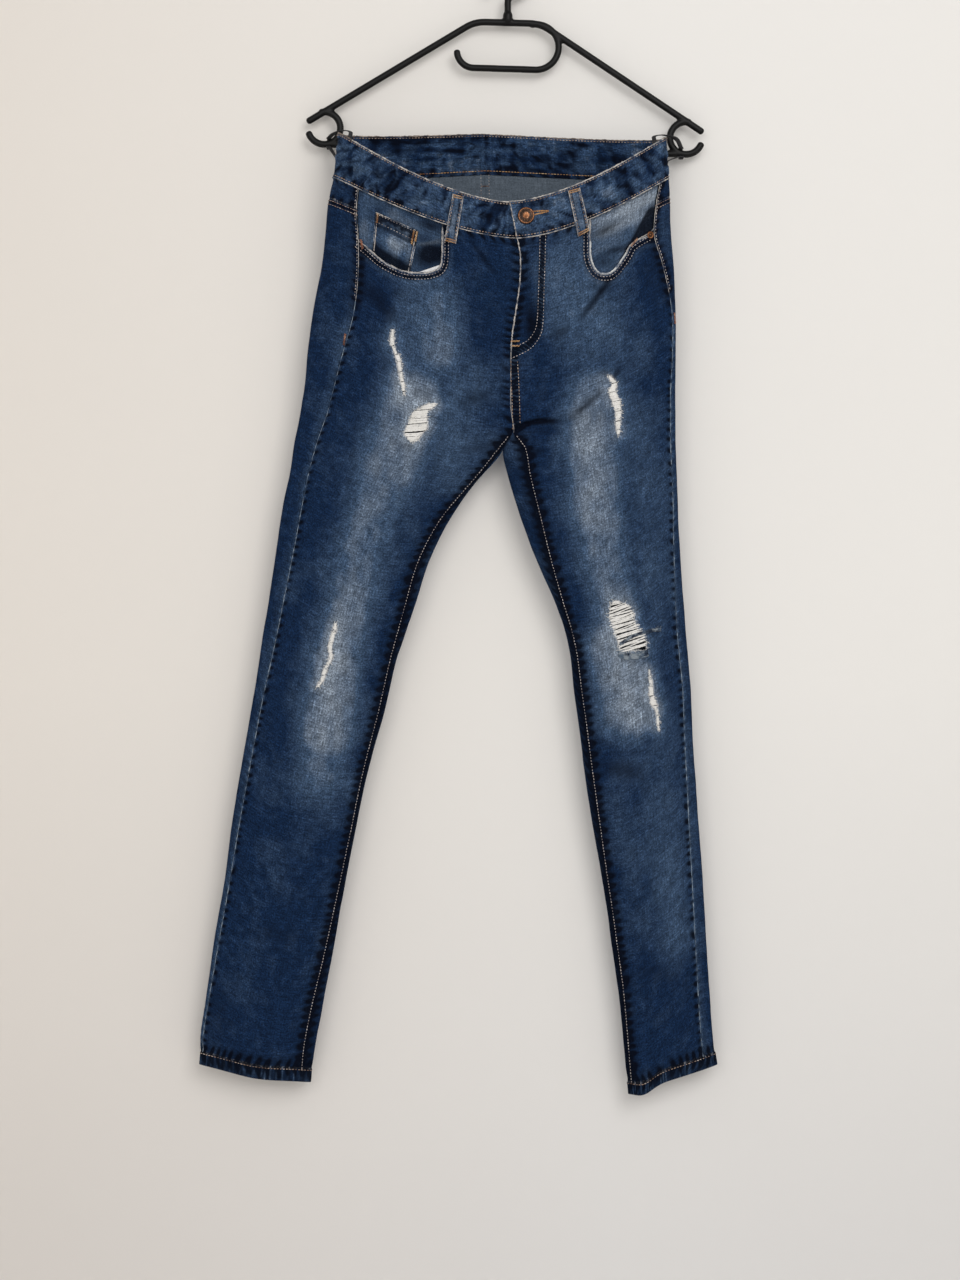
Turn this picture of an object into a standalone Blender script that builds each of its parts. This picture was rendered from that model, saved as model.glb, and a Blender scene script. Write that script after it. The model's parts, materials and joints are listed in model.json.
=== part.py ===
"""Ripped skinny jeans, hung by two tapes on a plastic hanger.

Metres, +Z up. The origin is the inner top of the hanger's hook, -Y is the front of the jeans and
+X is the wearer's left. The tables below are in millimetres, and MM turns them into metres.

The cloth is one measured surface, `Body`: rows run from the top of the waistband to the hems, and
each row is a flattened ring. Every sewn piece is a set of that surface's faces, drawn back from its
seams and thickened inwards, or a patch of points read off it and lifted clear of it.
"""

import math
from collections import namedtuple

import bmesh
import bpy
import numpy as np
from mathutils import Vector
from mathutils.bvhtree import BVHTree

MM = 0.001

# ---------------------------------------------------------------- driving sizes, in millimetres
SEAM_GAP = 0.3  # clear space between two pieces that meet
DENIM_WALL = 1.2
BAND_WALL = 2.6
BAND_PROUD = 0.5  # the waistband stands this far out of the panels below it
HEM_WALL = 2.4
HEM_PROUD = 0.6
FACING_DEPTH = 2.8  # from the front panel's face to the pocket facing behind it
LINING_WALL = 1.0
BAND_UNDERLAP_COLUMNS = 3  # how far the button end runs on behind the buttonhole end
BAND_RISE_COLUMNS = 3  # over which it comes back up to the other end's level
TUBE_RADIUS = 3.65  # of the hanger
TAPE_WIDTH = 4.8
TAPE_WALL = 1.0
BUTTON_RADIUS = 8.6
RIVET_RADIUS = 3.7

# ---------------------------------------------------------------- mesh density
FRONT_COLUMNS = 9
BACK_COLUMNS = 14
WRAP_COLUMNS = 1
DENSE = 90  # samples along each face of a row before its columns are spaced
TURN_WEIGHT = 7.0  # millimetres of length that one radian of turning counts for

# ---------------------------------------------------------------- the trunk, from waist to crotch
# Centre line of the front and of the back, the ring's depth, where its back lies, and how open the
# ring's inner edge is: 1 runs straight on into the other half, 0 is closed as a leg is.
Centre = namedtuple("Centre", "name front_x front_z back_x back_z depth back_y open sag")
CENTRE = [
    Centre("band_top", 1, -261, -25, -181.5, 52, -9, 1, 1),
    Centre("waist_seam", 8.5, -299, -24, -224, 52, -9, 1, 1),
    Centre("yoke_seam", 11.5, -314.5, -23, -290, 51, -7, 1, 0.95),
    Centre("high_hip", 11.5, -339, -21, -320, 48, -5, 1, 0.8),
    Centre("hip", 8, -366, -18, -348.5, 45, -4, 1, 0.6),
    Centre("low_hip", 3, -401.5, -15, -386.5, 42, -4, 1, 0.45),
    Centre("fly_foot", 2, -439.5, -11, -426.5, 39, -4, 0.96, 0.3),
    Centre("rise", 2.5, -474, -8, -463, 37, -4, 0.8, 0.15),
    Centre("inseam_meet", 5, -495.5, -6, -491, 35, -4, 0.45, 0.05),
]
# Outer edge of each half at those rows, and the share of the width where the side seam shows.
Edge = namedtuple("Edge", "outer_x outer_z side_share")
RIGHT_TRUNK = [
    Edge(-175.5, -186, 0.11),
    Edge(-180.5, -232.5, 0.139),
    Edge(-185.5, -253, 0.150),
    Edge(-188.5, -279, 0.170),
    Edge(-193, -318, 0.192),
    Edge(-201, -362, 0.205),
    Edge(-208, -410, 0.175),
    Edge(-212, -450, 0.143),
    Edge(-216, -473, 0.130),
]
LEFT_TRUNK = [
    Edge(163, -191, 0.045),
    Edge(166, -233.5, 0.062),
    Edge(167, -251.5, 0.095),
    Edge(168, -279, 0.114),
    Edge(171, -319, 0.070),
    Edge(173.5, -362, 0.028),
    Edge(174, -410, 0.020),
    Edge(174, -450, 0.032),
    Edge(174, -474, 0.033),
]
# ---------------------------------------------------------------- the legs, from crotch to hem
Leg = namedtuple("Leg", "outer_x outer_z inner_x inner_z depth back_y side_share inseam_share")
RIGHT_LEG = [
    Leg(-221, -497, -5, -511, 34, -4, 0.118, 0.985),
    Leg(-226, -531, -31, -543, 33, -4, 0.106, 0.985),
    Leg(-234, -569, -61, -585, 32, -4, 0.120, 0.957),
    Leg(-240, -611, -82.5, -629, 31, -4, 0.120, 0.943),
    Leg(-247, -658, -97, -675, 30, -4, 0.109, 0.944),
    Leg(-256, -710, -115, -727, 29, -4, 0.104, 0.965),
    Leg(-266, -772, -129.5, -789, 27, -4, 0.080, 0.966),
    Leg(-276.5, -835, -147, -851, 25, -4, 0.073, 0.975),
    Leg(-287, -897, -160, -914, 24, -4, 0.066, 0.975),
    Leg(-295.5, -959, -172, -976, 22, -4, 0.050, 0.965),
    Leg(-306, -1022, -183, -1038, 20, -4, 0.043, 0.945),
    Leg(-315, -1084, -195, -1101, 18, -4, 0.028, 0.920),
    Leg(-320, -1121, -202, -1138, 17, -4, 0.022, 0.920),
    Leg(-320.5, -1138.5, -204.5, -1156.5, 16, -4, 0.020, 0.926),
    Leg(-321.5, -1152, -206, -1170.5, 16, -4, 0.020, 0.930),
]
LEFT_LEG = [
    Leg(174, -499, -5, -511, 34, -4, 0.032, 0.885),
    Leg(175, -527, 1, -543, 33, -4, 0.032, 0.880),
    Leg(176.5, -567, 13.5, -585, 32, -4, 0.032, 0.885),
    Leg(178.5, -610, 30, -627, 31, -4, 0.045, 0.914),
    Leg(181.5, -653, 48, -668, 30, -4, 0.063, 0.950),
    Leg(185, -695, 61.5, -710, 29, -4, 0.080, 0.955),
    Leg(190, -759, 70, -772, 27, -4, 0.075, 0.947),
    Leg(193, -821, 78, -835, 25, -4, 0.080, 0.941),
    Leg(197.5, -883.5, 87.5, -897, 24, -4, 0.094, 0.946),
    Leg(202, -947, 98, -959.5, 22, -4, 0.110, 0.958),
    Leg(206, -1009, 107, -1022, 20, -4, 0.120, 0.956),
    Leg(210, -1072, 115.5, -1084, 18, -4, 0.131, 0.957),
    Leg(213, -1113, 121, -1131, 17, -4, 0.136, 0.968),
    Leg(216, -1139.5, 125, -1169, 16, -4, 0.140, 0.975),
    Leg(218, -1152.5, 126, -1181.5, 16, -4, 0.140, 0.975),
]
TRUNK_ROUND = 0.62  # share of a half's width over which its outer edge rounds away
LEG_ROUND = 0.5
ROUND_POWER = 2.35  # 2 is an ellipse, more is flatter with tighter edges
SAG_POWER = 1.62  # how the front rows droop from the side to the centre

BAND_TOP_ROW = 0
WAIST_ROW = 1
YOKE_ROW = 2
MEET_ROW = len(CENTRE) - 1
HEM_ROW = len(CENTRE) + len(RIGHT_LEG) - 2
HEM_FOOT_ROW = HEM_ROW + 1
HALF_ROWS = (0.5, 3.5, 4.5, 5.5, 6.5, 7.5)  # extra rows halfway between two of the table's
FACING_FOOT_ROW = 5
FACING_COLUMNS = 6

# ---------------------------------------------------------------- large folds
# Soft ridges (+) and troughs (-) along a line on the front or the back, each fading at both ends.
Fold = namedtuple("Fold", "face from_x from_z to_x to_z reach height")
FOLDS = [
    Fold("front", 8, -494, 60, -486, 7, -3.0),
    Fold("front", 60, -487, 112, -447, 9, 2.6),
    Fold("front", 112, -446, 125, -418, 9, 1.6),
    Fold("front", 112, -334, 70, -388, 12, -2.0),
    Fold("front", -45, -296, -8, -342, 9, -1.5),
    Fold("front", -14, -500, -95, -470, 14, 2.2),
    Fold("front", -40, -560, -120, -512, 16, -2.4),
    Fold("front", 22, -560, 90, -520, 15, 2.0),
    Fold("front", 128, -700, 90, -660, 12, -2.0),
    Fold("front", 146, -722, 144, -742, 10, 2.0),
    Fold("front", -150, -700, -215, -690, 14, -1.8),
    Fold("front", -160, -760, -240, -745, 15, 1.8),
    Fold("front", 95, -790, 175, -775, 14, -1.6),
    Fold("back", -10, -470, -110, -500, 16, -3.0),
    Fold("back", 0, -470, 100, -500, 16, -3.0),
    Fold("back", -40, -540, -190, -560, 18, 2.4),
    Fold("back", 20, -545, 150, -560, 18, 2.4),
    Fold("back", -130, -720, -240, -735, 16, -2.4),
    Fold("back", -135, -770, -250, -765, 15, -2.0),
    Fold("back", 75, -725, 175, -735, 16, -2.4),
    Fold("back", 80, -780, 180, -770, 15, -2.0),
]

# ---------------------------------------------------------------- pocket openings and rips
# Each row is one height: the left and right edges of the opening there. Rows run downwards.
Slot = namedtuple("Slot", "z left right")
RIGHT_POCKET_SCOOP = [
    Slot(-222, -173, -67.5),
    Slot(-256.5, -173, -68),
    Slot(-296, -166, -68),
    Slot(-299, -154, -68),
    Slot(-305, -146.5, -68),
    Slot(-312, -138.5, -68),
    Slot(-319, -130.5, -68.5),
    Slot(-324.5, -121.5, -69.5),
    Slot(-328.5, -113.5, -72),
    Slot(-331, -106, -77.5),
    Slot(-332.5, -97, -85),
]
LEFT_POCKET_SCOOP = [
    Slot(-222, 84, 162),
    Slot(-261.5, 84, 162),
    Slot(-291, 84, 145.5),
    Slot(-298, 84, 133.5),
    Slot(-305, 84, 124.5),
    Slot(-312, 84, 121),
    Slot(-319, 85, 116.5),
    Slot(-324.5, 87, 112.5),
    Slot(-329.5, 90, 108.5),
    Slot(-333, 95, 103),
]
Rip = namedtuple("Rip", "name side rows")
RIPS = [
    Rip("weft_right_thigh_slit", "right", [
        Slot(-393, -120, -117.5),
        Slot(-402, -121.5, -117.5),
        Slot(-412, -118.5, -114.5),
        Slot(-421, -114.5, -111),
        Slot(-431, -112.5, -109),
        Slot(-442.5, -111.5, -108.5),
        Slot(-455.5, -108, -105.5),
    ]),
    Rip("weft_right_thigh_patch", "right", [
        Slot(-467, -83.5, -73.5),
        Slot(-471, -93.5, -78.5),
        Slot(-476, -99.5, -83.5),
        Slot(-483, -101.5, -83.5),
        Slot(-491, -105.5, -83.5),
        Slot(-498, -106.5, -89.5),
        Slot(-504.5, -100.5, -94.5),
    ]),
    Rip("weft_right_knee_slit", "right", [
        Slot(-693, -179.5, -177.5),
        Slot(-703, -182.5, -178.5),
        Slot(-715, -186, -182),
        Slot(-729, -185.5, -182),
        Slot(-741, -191.5, -187.5),
        Slot(-752, -194.5, -191),
        Slot(-758, -198, -195.5),
    ]),
    Rip("weft_left_thigh_slit", "left", [
        Slot(-438, 102, 105.5),
        Slot(-445, 107, 112),
        Slot(-453, 104, 110.5),
        Slot(-463.5, 106.5, 115.5),
        Slot(-474, 110.5, 116.5),
        Slot(-486.5, 111, 116),
        Slot(-497, 113, 115),
    ]),
    Rip("weft_left_knee_patch", "left", [
        Slot(-670, 109, 114),
        Slot(-674, 106, 123),
        Slot(-683, 105, 130),
        Slot(-692, 106.5, 130),
        Slot(-701, 111, 137),
        Slot(-709, 113, 142),
        Slot(-717, 115, 143),
        Slot(-720, 119, 141),
    ]),
    Rip("weft_left_knee_slit", "left", [
        Slot(-746, 145, 147.5),
        Slot(-756, 146, 149.5),
        Slot(-766, 146, 150),
        Slot(-777, 147, 153),
        Slot(-784, 151, 154),
        Slot(-796, 154.5, 156.5),
    ]),
]

# ---------------------------------------------------------------- what lies on the panels
# A patch has four corners, seen from its own side, and how high its two faces stand.
Patch = namedtuple("Patch", "name face top_left top_right foot_right foot_left low high arch")
BELT_LOOPS = [
    Patch("belt_loop_front_right", "front",
          (-57, -254), (-45.5, -256.5), (-53.5, -304.5), (-65.5, -301.5), 0.95, 2.75, 0.9),
    Patch("belt_loop_front_left", "front",
          (60.5, -251), (73, -247.5), (83, -291), (71, -297.5), 0.95, 2.75, 0.9),
    Patch("belt_loop_back_right", "back",
          (-101, -186), (-112.5, -186.5), (-113, -238), (-101.5, -238), 0.95, 2.55, 0.3),
    Patch("belt_loop_back_left", "back",
          (71.5, -189), (60, -189), (60.5, -240), (72, -240), 0.95, 2.55, 0.3),
    Patch("belt_loop_centre_back", "back",
          (-19, -186), (-30.5, -186), (-30.5, -238), (-19, -238), 0.95, 2.55, 0.3),
]
COIN_POCKET = Patch("coin_pocket", "front",
                    (-136.5, -270.5), (-92, -291), (-102, -336.5), (-140.5, -312), -2.35, -1.5, 0)
POCKETING = Patch("pocketing_right", "front",
                  (-99, -328.5), (-71, -319.5), (-67.5, -329.5), (-97, -340.5), -2.35, -1.5, 0)
BackPocket = namedtuple("BackPocket", "name centre_x top_z half_top half_foot side_height point")
BACK_POCKETS = [
    BackPocket("back_pocket_right", -108, -322, 66, 58, 128, 24),
    BackPocket("back_pocket_left", 80, -322, 66, 58, 128, 24),
]
BUTTON_AT = (18, -276.5)
RIVET_AT = (146, -293)

# ---------------------------------------------------------------- the hanger, front view
SHOULDER_LEFT = (-208.5, -165.5)
SHOULDER_RIGHT = (203, -176.5)
TOP_BAR_LEFT = (-34.5, -61.5)
TOP_BAR_RIGHT = (34, -63.5)
SHOULDER_BEND = 11
RING_RADIUS = 17
RING_LEFT = (-192.5, -173)
RING_RIGHT = (187, -183.5)
HOOK_RADIUS = 21
ACCESSORY_CENTRE = (29.5, -88)
ACCESSORY_RADIUS = 23.9
ACCESSORY_CURL = (-35.5, -92)
ACCESSORY_CURL_RADIUS = 17.8

Finish = namedtuple("Finish", "colour roughness metallic")
INDIGO = Finish((0.045, 0.085, 0.17), 0.85, 0.0)
PALE_DENIM = Finish((0.12, 0.18, 0.27), 0.88, 0.0)
WHITE_COTTON = Finish((0.75, 0.72, 0.66), 0.9, 0.0)
COPPER = Finish((0.48, 0.2, 0.09), 0.35, 0.9)
BLACK_TAPE = Finish((0.012, 0.012, 0.014), 0.6, 0.0)
BLACK_PLASTIC = Finish((0.01, 0.01, 0.011), 0.28, 0.0)


def clear_scene():
    for obj in list(bpy.data.objects):
        bpy.data.objects.remove(obj, do_unlink=True)


def material(name, finish):
    made = bpy.data.materials.new(name)
    made.use_nodes = True
    shader = made.node_tree.nodes["Principled BSDF"]
    shader.inputs["Base Color"].default_value = (*finish.colour, 1)
    shader.inputs["Roughness"].default_value = finish.roughness
    shader.inputs["Metallic"].default_value = finish.metallic
    return made


def add_object(name, points, faces, finish):
    """A mesh object from points in millimetres."""
    mesh = bpy.data.meshes.new(name)
    mesh.from_pydata([tuple(p * MM for p in point) for point in points], [], faces)
    mesh.validate()
    mesh.shade_smooth()
    obj = bpy.data.objects.new(name, mesh)
    bpy.context.scene.collection.objects.link(obj)
    mesh.materials.append(material(name, finish))
    return obj


# ================================================================ the measured surface
Station = namedtuple(
    "Station",
    "outer_x outer_z front_x front_z back_x back_z depth back_y open sag"
    " side_share inseam_share rounding",
)


def all_rows(trunk, leg):
    """The stations of one half as an array, from the waistband's top to the hem's foot."""
    rows = []
    for centre, edge in zip(CENTRE, trunk):
        rows.append(Station(
            edge.outer_x, edge.outer_z, centre.front_x, centre.front_z, centre.back_x, centre.back_z,
            centre.depth, centre.back_y, centre.open, centre.sag, edge.side_share, 1.0, TRUNK_ROUND,
        ))
    for row in leg:
        rows.append(Station(
            row.outer_x, row.outer_z, row.inner_x, row.inner_z, row.inner_x, row.inner_z,
            row.depth, row.back_y, 0.0, 0.0, row.side_share, row.inseam_share, LEG_ROUND,
        ))
    return np.array(rows, float)


ROWS = {"right": all_rows(RIGHT_TRUNK, RIGHT_LEG), "left": all_rows(LEFT_TRUNK, LEFT_LEG)}
DOWN = -(ROWS["right"][:, 1] + ROWS["left"][:, 1]) / 2  # the rows' common spacing


def station(side, row):
    """The values at a row number, which may lie between two of the table's rows (a smooth cubic)."""
    table = ROWS[side]
    slopes = np.gradient(table, DOWN, axis=0)
    low = min(int(row), len(table) - 2)
    part = row - low
    length = DOWN[low + 1] - DOWN[low]
    square, cube = part**2, part**3
    values = (
        (2 * cube - 3 * square + 1) * table[low]
        + (cube - 2 * square + part) * length * slopes[low]
        + (3 * square - 2 * cube) * table[low + 1]
        + (cube - square) * length * slopes[low + 1]
    )
    made = Station(*values)
    return made._replace(
        open=min(max(made.open, 0.0), 1.0),
        sag=min(max(made.sag, 0.0), 1.0),
        inseam_share=min(made.inseam_share, 1.0),
    )


def fold_height(face, x, z):
    """How far the folds lift the cloth at a place, in millimetres."""
    total = np.zeros_like(x)
    for fold in FOLDS:
        if fold.face != face:
            continue
        run_x, run_z = fold.to_x - fold.from_x, fold.to_z - fold.from_z
        length = math.hypot(run_x, run_z)
        along = ((x - fold.from_x) * run_x + (z - fold.from_z) * run_z) / length**2
        across = ((x - fold.from_x) * run_z - (z - fold.from_z) * run_x) / length
        fade = np.clip(1 - (2 * along - 1) ** 2, 0, 1)
        total += fold.height * fade * np.exp(-((across / fold.reach) ** 2))
    return total


def dense_row(side, row):
    """A row's ring as many points, from the front's inner edge round the outside to the back's."""
    at = station(side, row)
    share = (1 - np.cos(np.pi * np.linspace(0, 1, DENSE))) / 2
    outside = np.clip(1 - share / at.rounding, 0, 1)
    inside = np.clip((share - (1 - LEG_ROUND)) / LEG_ROUND, 0, 1)
    swell = (1 - outside**ROUND_POWER) ** (1 / ROUND_POWER)
    swell *= (1 - (1 - at.open) * inside**ROUND_POWER) ** (1 / ROUND_POWER)
    middle_y = at.back_y - at.depth / 2

    droop = share + at.sag * ((1 - (1 - share) ** SAG_POWER) - share)
    x = at.outer_x + (at.front_x - at.outer_x) * share
    z = at.outer_z + (at.front_z - at.outer_z) * droop
    y = middle_y - swell * (at.depth / 2 + fold_height("front", x, z))
    front = np.stack([x, y, z], axis=1)[::-1]

    x = at.outer_x + (at.back_x - at.outer_x) * share
    z = at.outer_z + (at.back_z - at.outer_z) * share
    y = middle_y + swell * (at.depth / 2 + fold_height("back", x, z))
    back = np.stack([x, y, z], axis=1)
    return np.concatenate([front, back[1:]]), share


def spaced_row(side, row):
    """A row's column points: the wrapped strip inside the inseam, the front, then the back."""
    ring, share = dense_row(side, row)
    at = station(side, row)
    steps = np.diff(ring, axis=0)
    lengths = np.linalg.norm(steps, axis=1)
    directions = steps / np.maximum(lengths, 1e-9)[:, None]
    turns = np.zeros(len(ring))
    cosines = np.clip((directions[1:] * directions[:-1]).sum(axis=1), -1, 1)
    turns[1:-1] = np.arccos(cosines)
    weights = lengths + TURN_WEIGHT * (turns[1:] + turns[:-1]) / 2
    reach = np.concatenate([[0], np.cumsum(weights)])
    front_reach = reach[: len(share)][::-1]
    inseam, side_seam = np.interp([at.inseam_share, at.side_share], share, front_reach)
    if row <= MEET_ROW:
        inseam = 0.0
    stops = np.concatenate([
        np.linspace(0, inseam, WRAP_COLUMNS + 1)[:-1],
        np.linspace(inseam, side_seam, FRONT_COLUMNS + 1)[:-1],
        np.linspace(side_seam, reach[-1], BACK_COLUMNS + 1),
    ])
    return np.stack([np.interp(stops, reach, ring[:, axis]) for axis in range(3)], axis=1)


FIRST_FRONT = WRAP_COLUMNS
FIRST_BACK = WRAP_COLUMNS + FRONT_COLUMNS
COLUMNS = WRAP_COLUMNS + FRONT_COLUMNS + BACK_COLUMNS


class Body:
    """The whole outer surface of the jeans, as merged points, faces and normals."""

    def __init__(self):
        self.row_numbers = sorted({float(n) for n in range(HEM_FOOT_ROW + 1)} | set(HALF_ROWS))
        self.grid = {
            side: np.array([spaced_row(side, row) for row in self.row_numbers])
            for side in ("right", "left")
        }
        stacked = np.concatenate([self.grid[side].reshape(-1, 3) for side in ("right", "left")])
        _, first, index = np.unique(
            np.round(stacked, 3), axis=0, return_index=True, return_inverse=True
        )
        self.points = stacked[first]
        shape = self.grid["right"].shape[:2]
        index = index.reshape(2, *shape)
        self.index = {"right": index[0], "left": index[1]}
        self.cells = {
            (side, row, column): self.triangles(side, row, column)
            for side in ("right", "left")
            for row in range(shape[0] - 1)
            for column in range(COLUMNS)
        }
        every = [triangle for cell in self.cells.values() for triangle in cell]
        self.normals = self.vertex_normals(every)
        self.tree = BVHTree.FromPolygons([tuple(p) for p in self.points], every)

    def triangles(self, side, row, column):
        """A cell's two triangles, outside face out, or one or none where corners have merged."""
        table = self.index[side]
        a, b = int(table[row, column]), int(table[row, column + 1])
        c, d = int(table[row + 1, column + 1]), int(table[row + 1, column])
        pair = [[a, b, c], [a, c, d]]
        if side == "left":
            pair = [triangle[::-1] for triangle in pair]
        return [triangle for triangle in pair if len(set(triangle)) == 3]

    def vertex_normals(self, triangles):
        total = np.zeros_like(self.points)
        for triangle in triangles:
            a, b, c = self.points[triangle]
            normal = np.cross(b - a, c - a)
            for corner in triangle:
                total[corner] += normal
        return total / np.linalg.norm(total, axis=1)[:, None]

    def level(self, row_number):
        return self.row_numbers.index(float(row_number))

    def pick(self, side, first_row, last_row, first_column, last_column):
        """The triangles between two of the table's rows and two columns."""
        top, foot = self.level(first_row), self.level(last_row)
        return [
            triangle
            for (cell_side, row, column), cell in self.cells.items()
            if cell_side == side and top <= row < foot and first_column <= column < last_column
            for triangle in cell
        ]

    def at(self, x, z, face):
        """The point and the outward normal of the surface at x, z, on its front or its back."""
        ahead = -1 if face == "front" else 1
        start = Vector((x, ahead * 300, z))
        point, normal, _, _ = self.tree.ray_cast(start, Vector((0, -ahead, 0)))
        if point is None:
            raise ValueError(f"no cloth at {x}, {z} on the {face}")
        if normal.y * ahead < 0:
            normal = -normal
        return np.array(point), np.array(normal)


def edge_uses(faces):
    uses = {}
    for face in faces:
        for start, end in zip(face, face[1:] + face[:1]):
            uses[start, end] = face
    return uses


def drawn_back(points, normals, faces):
    """The points with those on the outline moved in by half the seam gap."""
    uses = edge_uses(faces)
    inward = {}
    for start, end in uses:
        if (end, start) in uses:
            continue
        along = points[end] - points[start]
        across = np.cross(normals[start] + normals[end], along)
        across /= np.linalg.norm(across)
        inward.setdefault(start, []).append(across)
        inward.setdefault(end, []).append(across)
    moved = points.copy()
    for corner, sides in inward.items():
        total = sum(sides)
        spread = max(1 + float(np.dot(sides[0], sides[-1])), 0.35)
        scale = 1 / spread if len(sides) == 2 else 1.0
        moved[corner] = points[corner] + total * scale * SEAM_GAP / 2
    return moved


def wall_solid(name, points, normals, faces, high, low, finish):
    """A closed wall between two heights over a set of faces."""
    used = sorted({corner for face in faces for corner in face})
    number = {corner: k for k, corner in enumerate(used)}
    moved = drawn_back(points, normals, faces)
    high = np.broadcast_to(np.asarray(high, float), (len(points),))
    low = np.broadcast_to(np.asarray(low, float), (len(points),))
    top = [moved[c] + normals[c] * high[c] for c in used]
    under = [moved[c] + normals[c] * low[c] for c in used]
    count = len(used)
    solid = [[number[c] for c in face] for face in faces]
    solid += [[number[c] + count for c in reversed(face)] for face in faces]
    uses = edge_uses(faces)
    for start, end in uses:
        if (end, start) not in uses:
            a, b = number[start], number[end]
            solid.append([b, a, a + count, b + count])
    return add_object(name, top + under, solid, finish)


# ================================================================ panels
def fly_sink(body, amount):
    """How far the button side of the front dips behind the fly's edge, for every point."""
    x, _, z = body.points.T
    across = np.clip(1 - (body_centre_x(z) - x) / 32, 0, 1)
    above = np.clip((z + 470) / 60, 0, 1)
    front = body.points[:, 1] < -30
    return np.where((x <= body_centre_x(z) + 0.01) & front, -amount * across**2 * above, 0.0)


def body_centre_x(z):
    heights = [row.front_z for row in CENTRE][::-1]
    return np.interp(z, heights, [row.front_x for row in CENTRE][::-1])


def make_panels(body):
    sink = {"right": fly_sink(body, DENIM_WALL + SEAM_GAP), "left": np.zeros(len(body.points))}
    for side in ("right", "left"):
        front = body.pick(side, WAIST_ROW, HEM_ROW, FIRST_FRONT, FIRST_BACK)
        wall_solid(f"front_{side}", body.points, body.normals, front,
                   sink[side], sink[side] - DENIM_WALL, INDIGO)
        yoke = body.pick(side, WAIST_ROW, YOKE_ROW, FIRST_BACK, COLUMNS)
        wall_solid(f"yoke_{side}", body.points, body.normals, yoke, 0, -DENIM_WALL, INDIGO)
        back = body.pick(side, YOKE_ROW, HEM_ROW, FIRST_BACK, COLUMNS)
        back += body.pick(side, MEET_ROW, HEM_ROW, 0, FIRST_FRONT)
        wall_solid(f"back_{side}", body.points, body.normals, back, 0, -DENIM_WALL, INDIGO)
        hem = body.pick(side, HEM_ROW, HEM_FOOT_ROW, 0, COLUMNS)
        wall_solid(f"hem_{side}", body.points, body.normals, hem,
                   HEM_PROUD, HEM_PROUD - HEM_WALL, INDIGO)


def make_waistband(body):
    """One strip: behind the buttonhole end, round the right, the back and the left, to the fly."""
    levels = range(body.level(BAND_TOP_ROW), body.level(WAIST_ROW) + 1)
    left, right = body.index["left"], body.index["right"]
    start = FIRST_FRONT + BAND_UNDERLAP_COLUMNS
    order = [("left", c) for c in range(start, FIRST_FRONT - 1, -1)]
    order += [("right", c) for c in range(FIRST_FRONT + 1, COLUMNS + 1)]
    order += [("left", c) for c in range(COLUMNS - 1, FIRST_FRONT - 1, -1)]
    behind = -(BAND_WALL + SEAM_GAP + 0.1)
    lapped = BAND_UNDERLAP_COLUMNS + BAND_RISE_COLUMNS
    sinks = [behind * np.clip((lapped - k) / BAND_RISE_COLUMNS, 0, 1) for k in range(len(order))]
    points, normals, heights = [], [], []
    for level in levels:
        for (side, column), sink in zip(order, sinks):
            corner = (left if side == "left" else right)[level, column]
            points.append(body.points[corner])
            normals.append(body.normals[corner])
            heights.append(BAND_PROUD + sink)
    width = len(order)
    faces = []
    for level in range(len(levels) - 1):
        for k in range(width - 1):
            a, b = level * width + k, level * width + k + 1
            c, d = b + width, a + width
            mirrored = order[k + 1][0] == "left"
            faces += [[a, b, d], [b, c, d]] if mirrored else [[a, b, c], [a, c, d]]
    heights = np.array(heights)
    wall_solid("waistband", np.array(points), np.array(normals), faces,
               heights, heights - BAND_WALL, INDIGO)


def grown(rows, amount):
    """The left and right points of each slot row, with the outline moved out by an amount."""
    outline = [(row.left, row.z) for row in rows] + [(row.right, row.z) for row in rows[::-1]]
    outline = [np.array(point, float) for point in outline]
    moved = []
    for before, here, after in zip(outline[-1:] + outline[:-1], outline, outline[1:] + outline[:1]):
        sides = []
        for start, end in ((before, here), (here, after)):
            along = (end - start) / np.linalg.norm(end - start)
            sides.append(np.array((along[1], -along[0])))
        spread = max(1 + sides[0] @ sides[1], 0.4)
        moved.append(here + (sides[0] + sides[1]) / spread * amount)
    return list(zip(moved[: len(rows)], moved[::-1][: len(rows)]))


def prism(name, rows, grow=0.0):
    """A cutter through the front wall, on the outline of a list of slots."""
    near, far = -90, -26
    points = []
    for pair in grown(rows, grow):
        for x, z in pair:
            points += [(x, near, z), (x, far, z)]
    last = 4 * (len(rows) - 1)
    faces = [[0, 2, 3, 1], [last, last + 1, last + 3, last + 2]]
    for k in range(len(rows) - 1):
        a, b = 4 * k, 4 * (k + 1)
        faces += [
            [a, b, b + 2, a + 2], [a + 1, a + 3, b + 3, b + 1],
            [a, a + 1, b + 1, b], [a + 2, b + 2, b + 3, a + 3],
        ]
    cutter = add_object(name, points, faces, INDIGO)
    outward_faces(cutter.data)
    cutter.hide_render = True
    cutter.display_type = "WIRE"
    return cutter


def outward_faces(mesh):
    """Turns every face of a closed mesh outwards."""
    work = bmesh.new()
    work.from_mesh(mesh)
    bmesh.ops.recalc_face_normals(work, faces=work.faces)
    work.to_mesh(mesh)
    work.free()


def boolean(obj, other, operation):
    cut = obj.modifiers.new(other.name, "BOOLEAN")
    cut.operation = operation
    cut.object = other
    cut.solver = "EXACT"


def cut_openings():
    scoops = {"right": RIGHT_POCKET_SCOOP, "left": LEFT_POCKET_SCOOP}
    for side, rows in scoops.items():
        boolean(bpy.data.objects[f"front_{side}"], prism(f"cutter_pocket_{side}", rows), "DIFFERENCE")
    for rip in RIPS:
        cutter = prism(f"cutter_{rip.name}", rip.rows, SEAM_GAP)
        boolean(bpy.data.objects[f"front_{rip.side}"], cutter, "DIFFERENCE")


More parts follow.
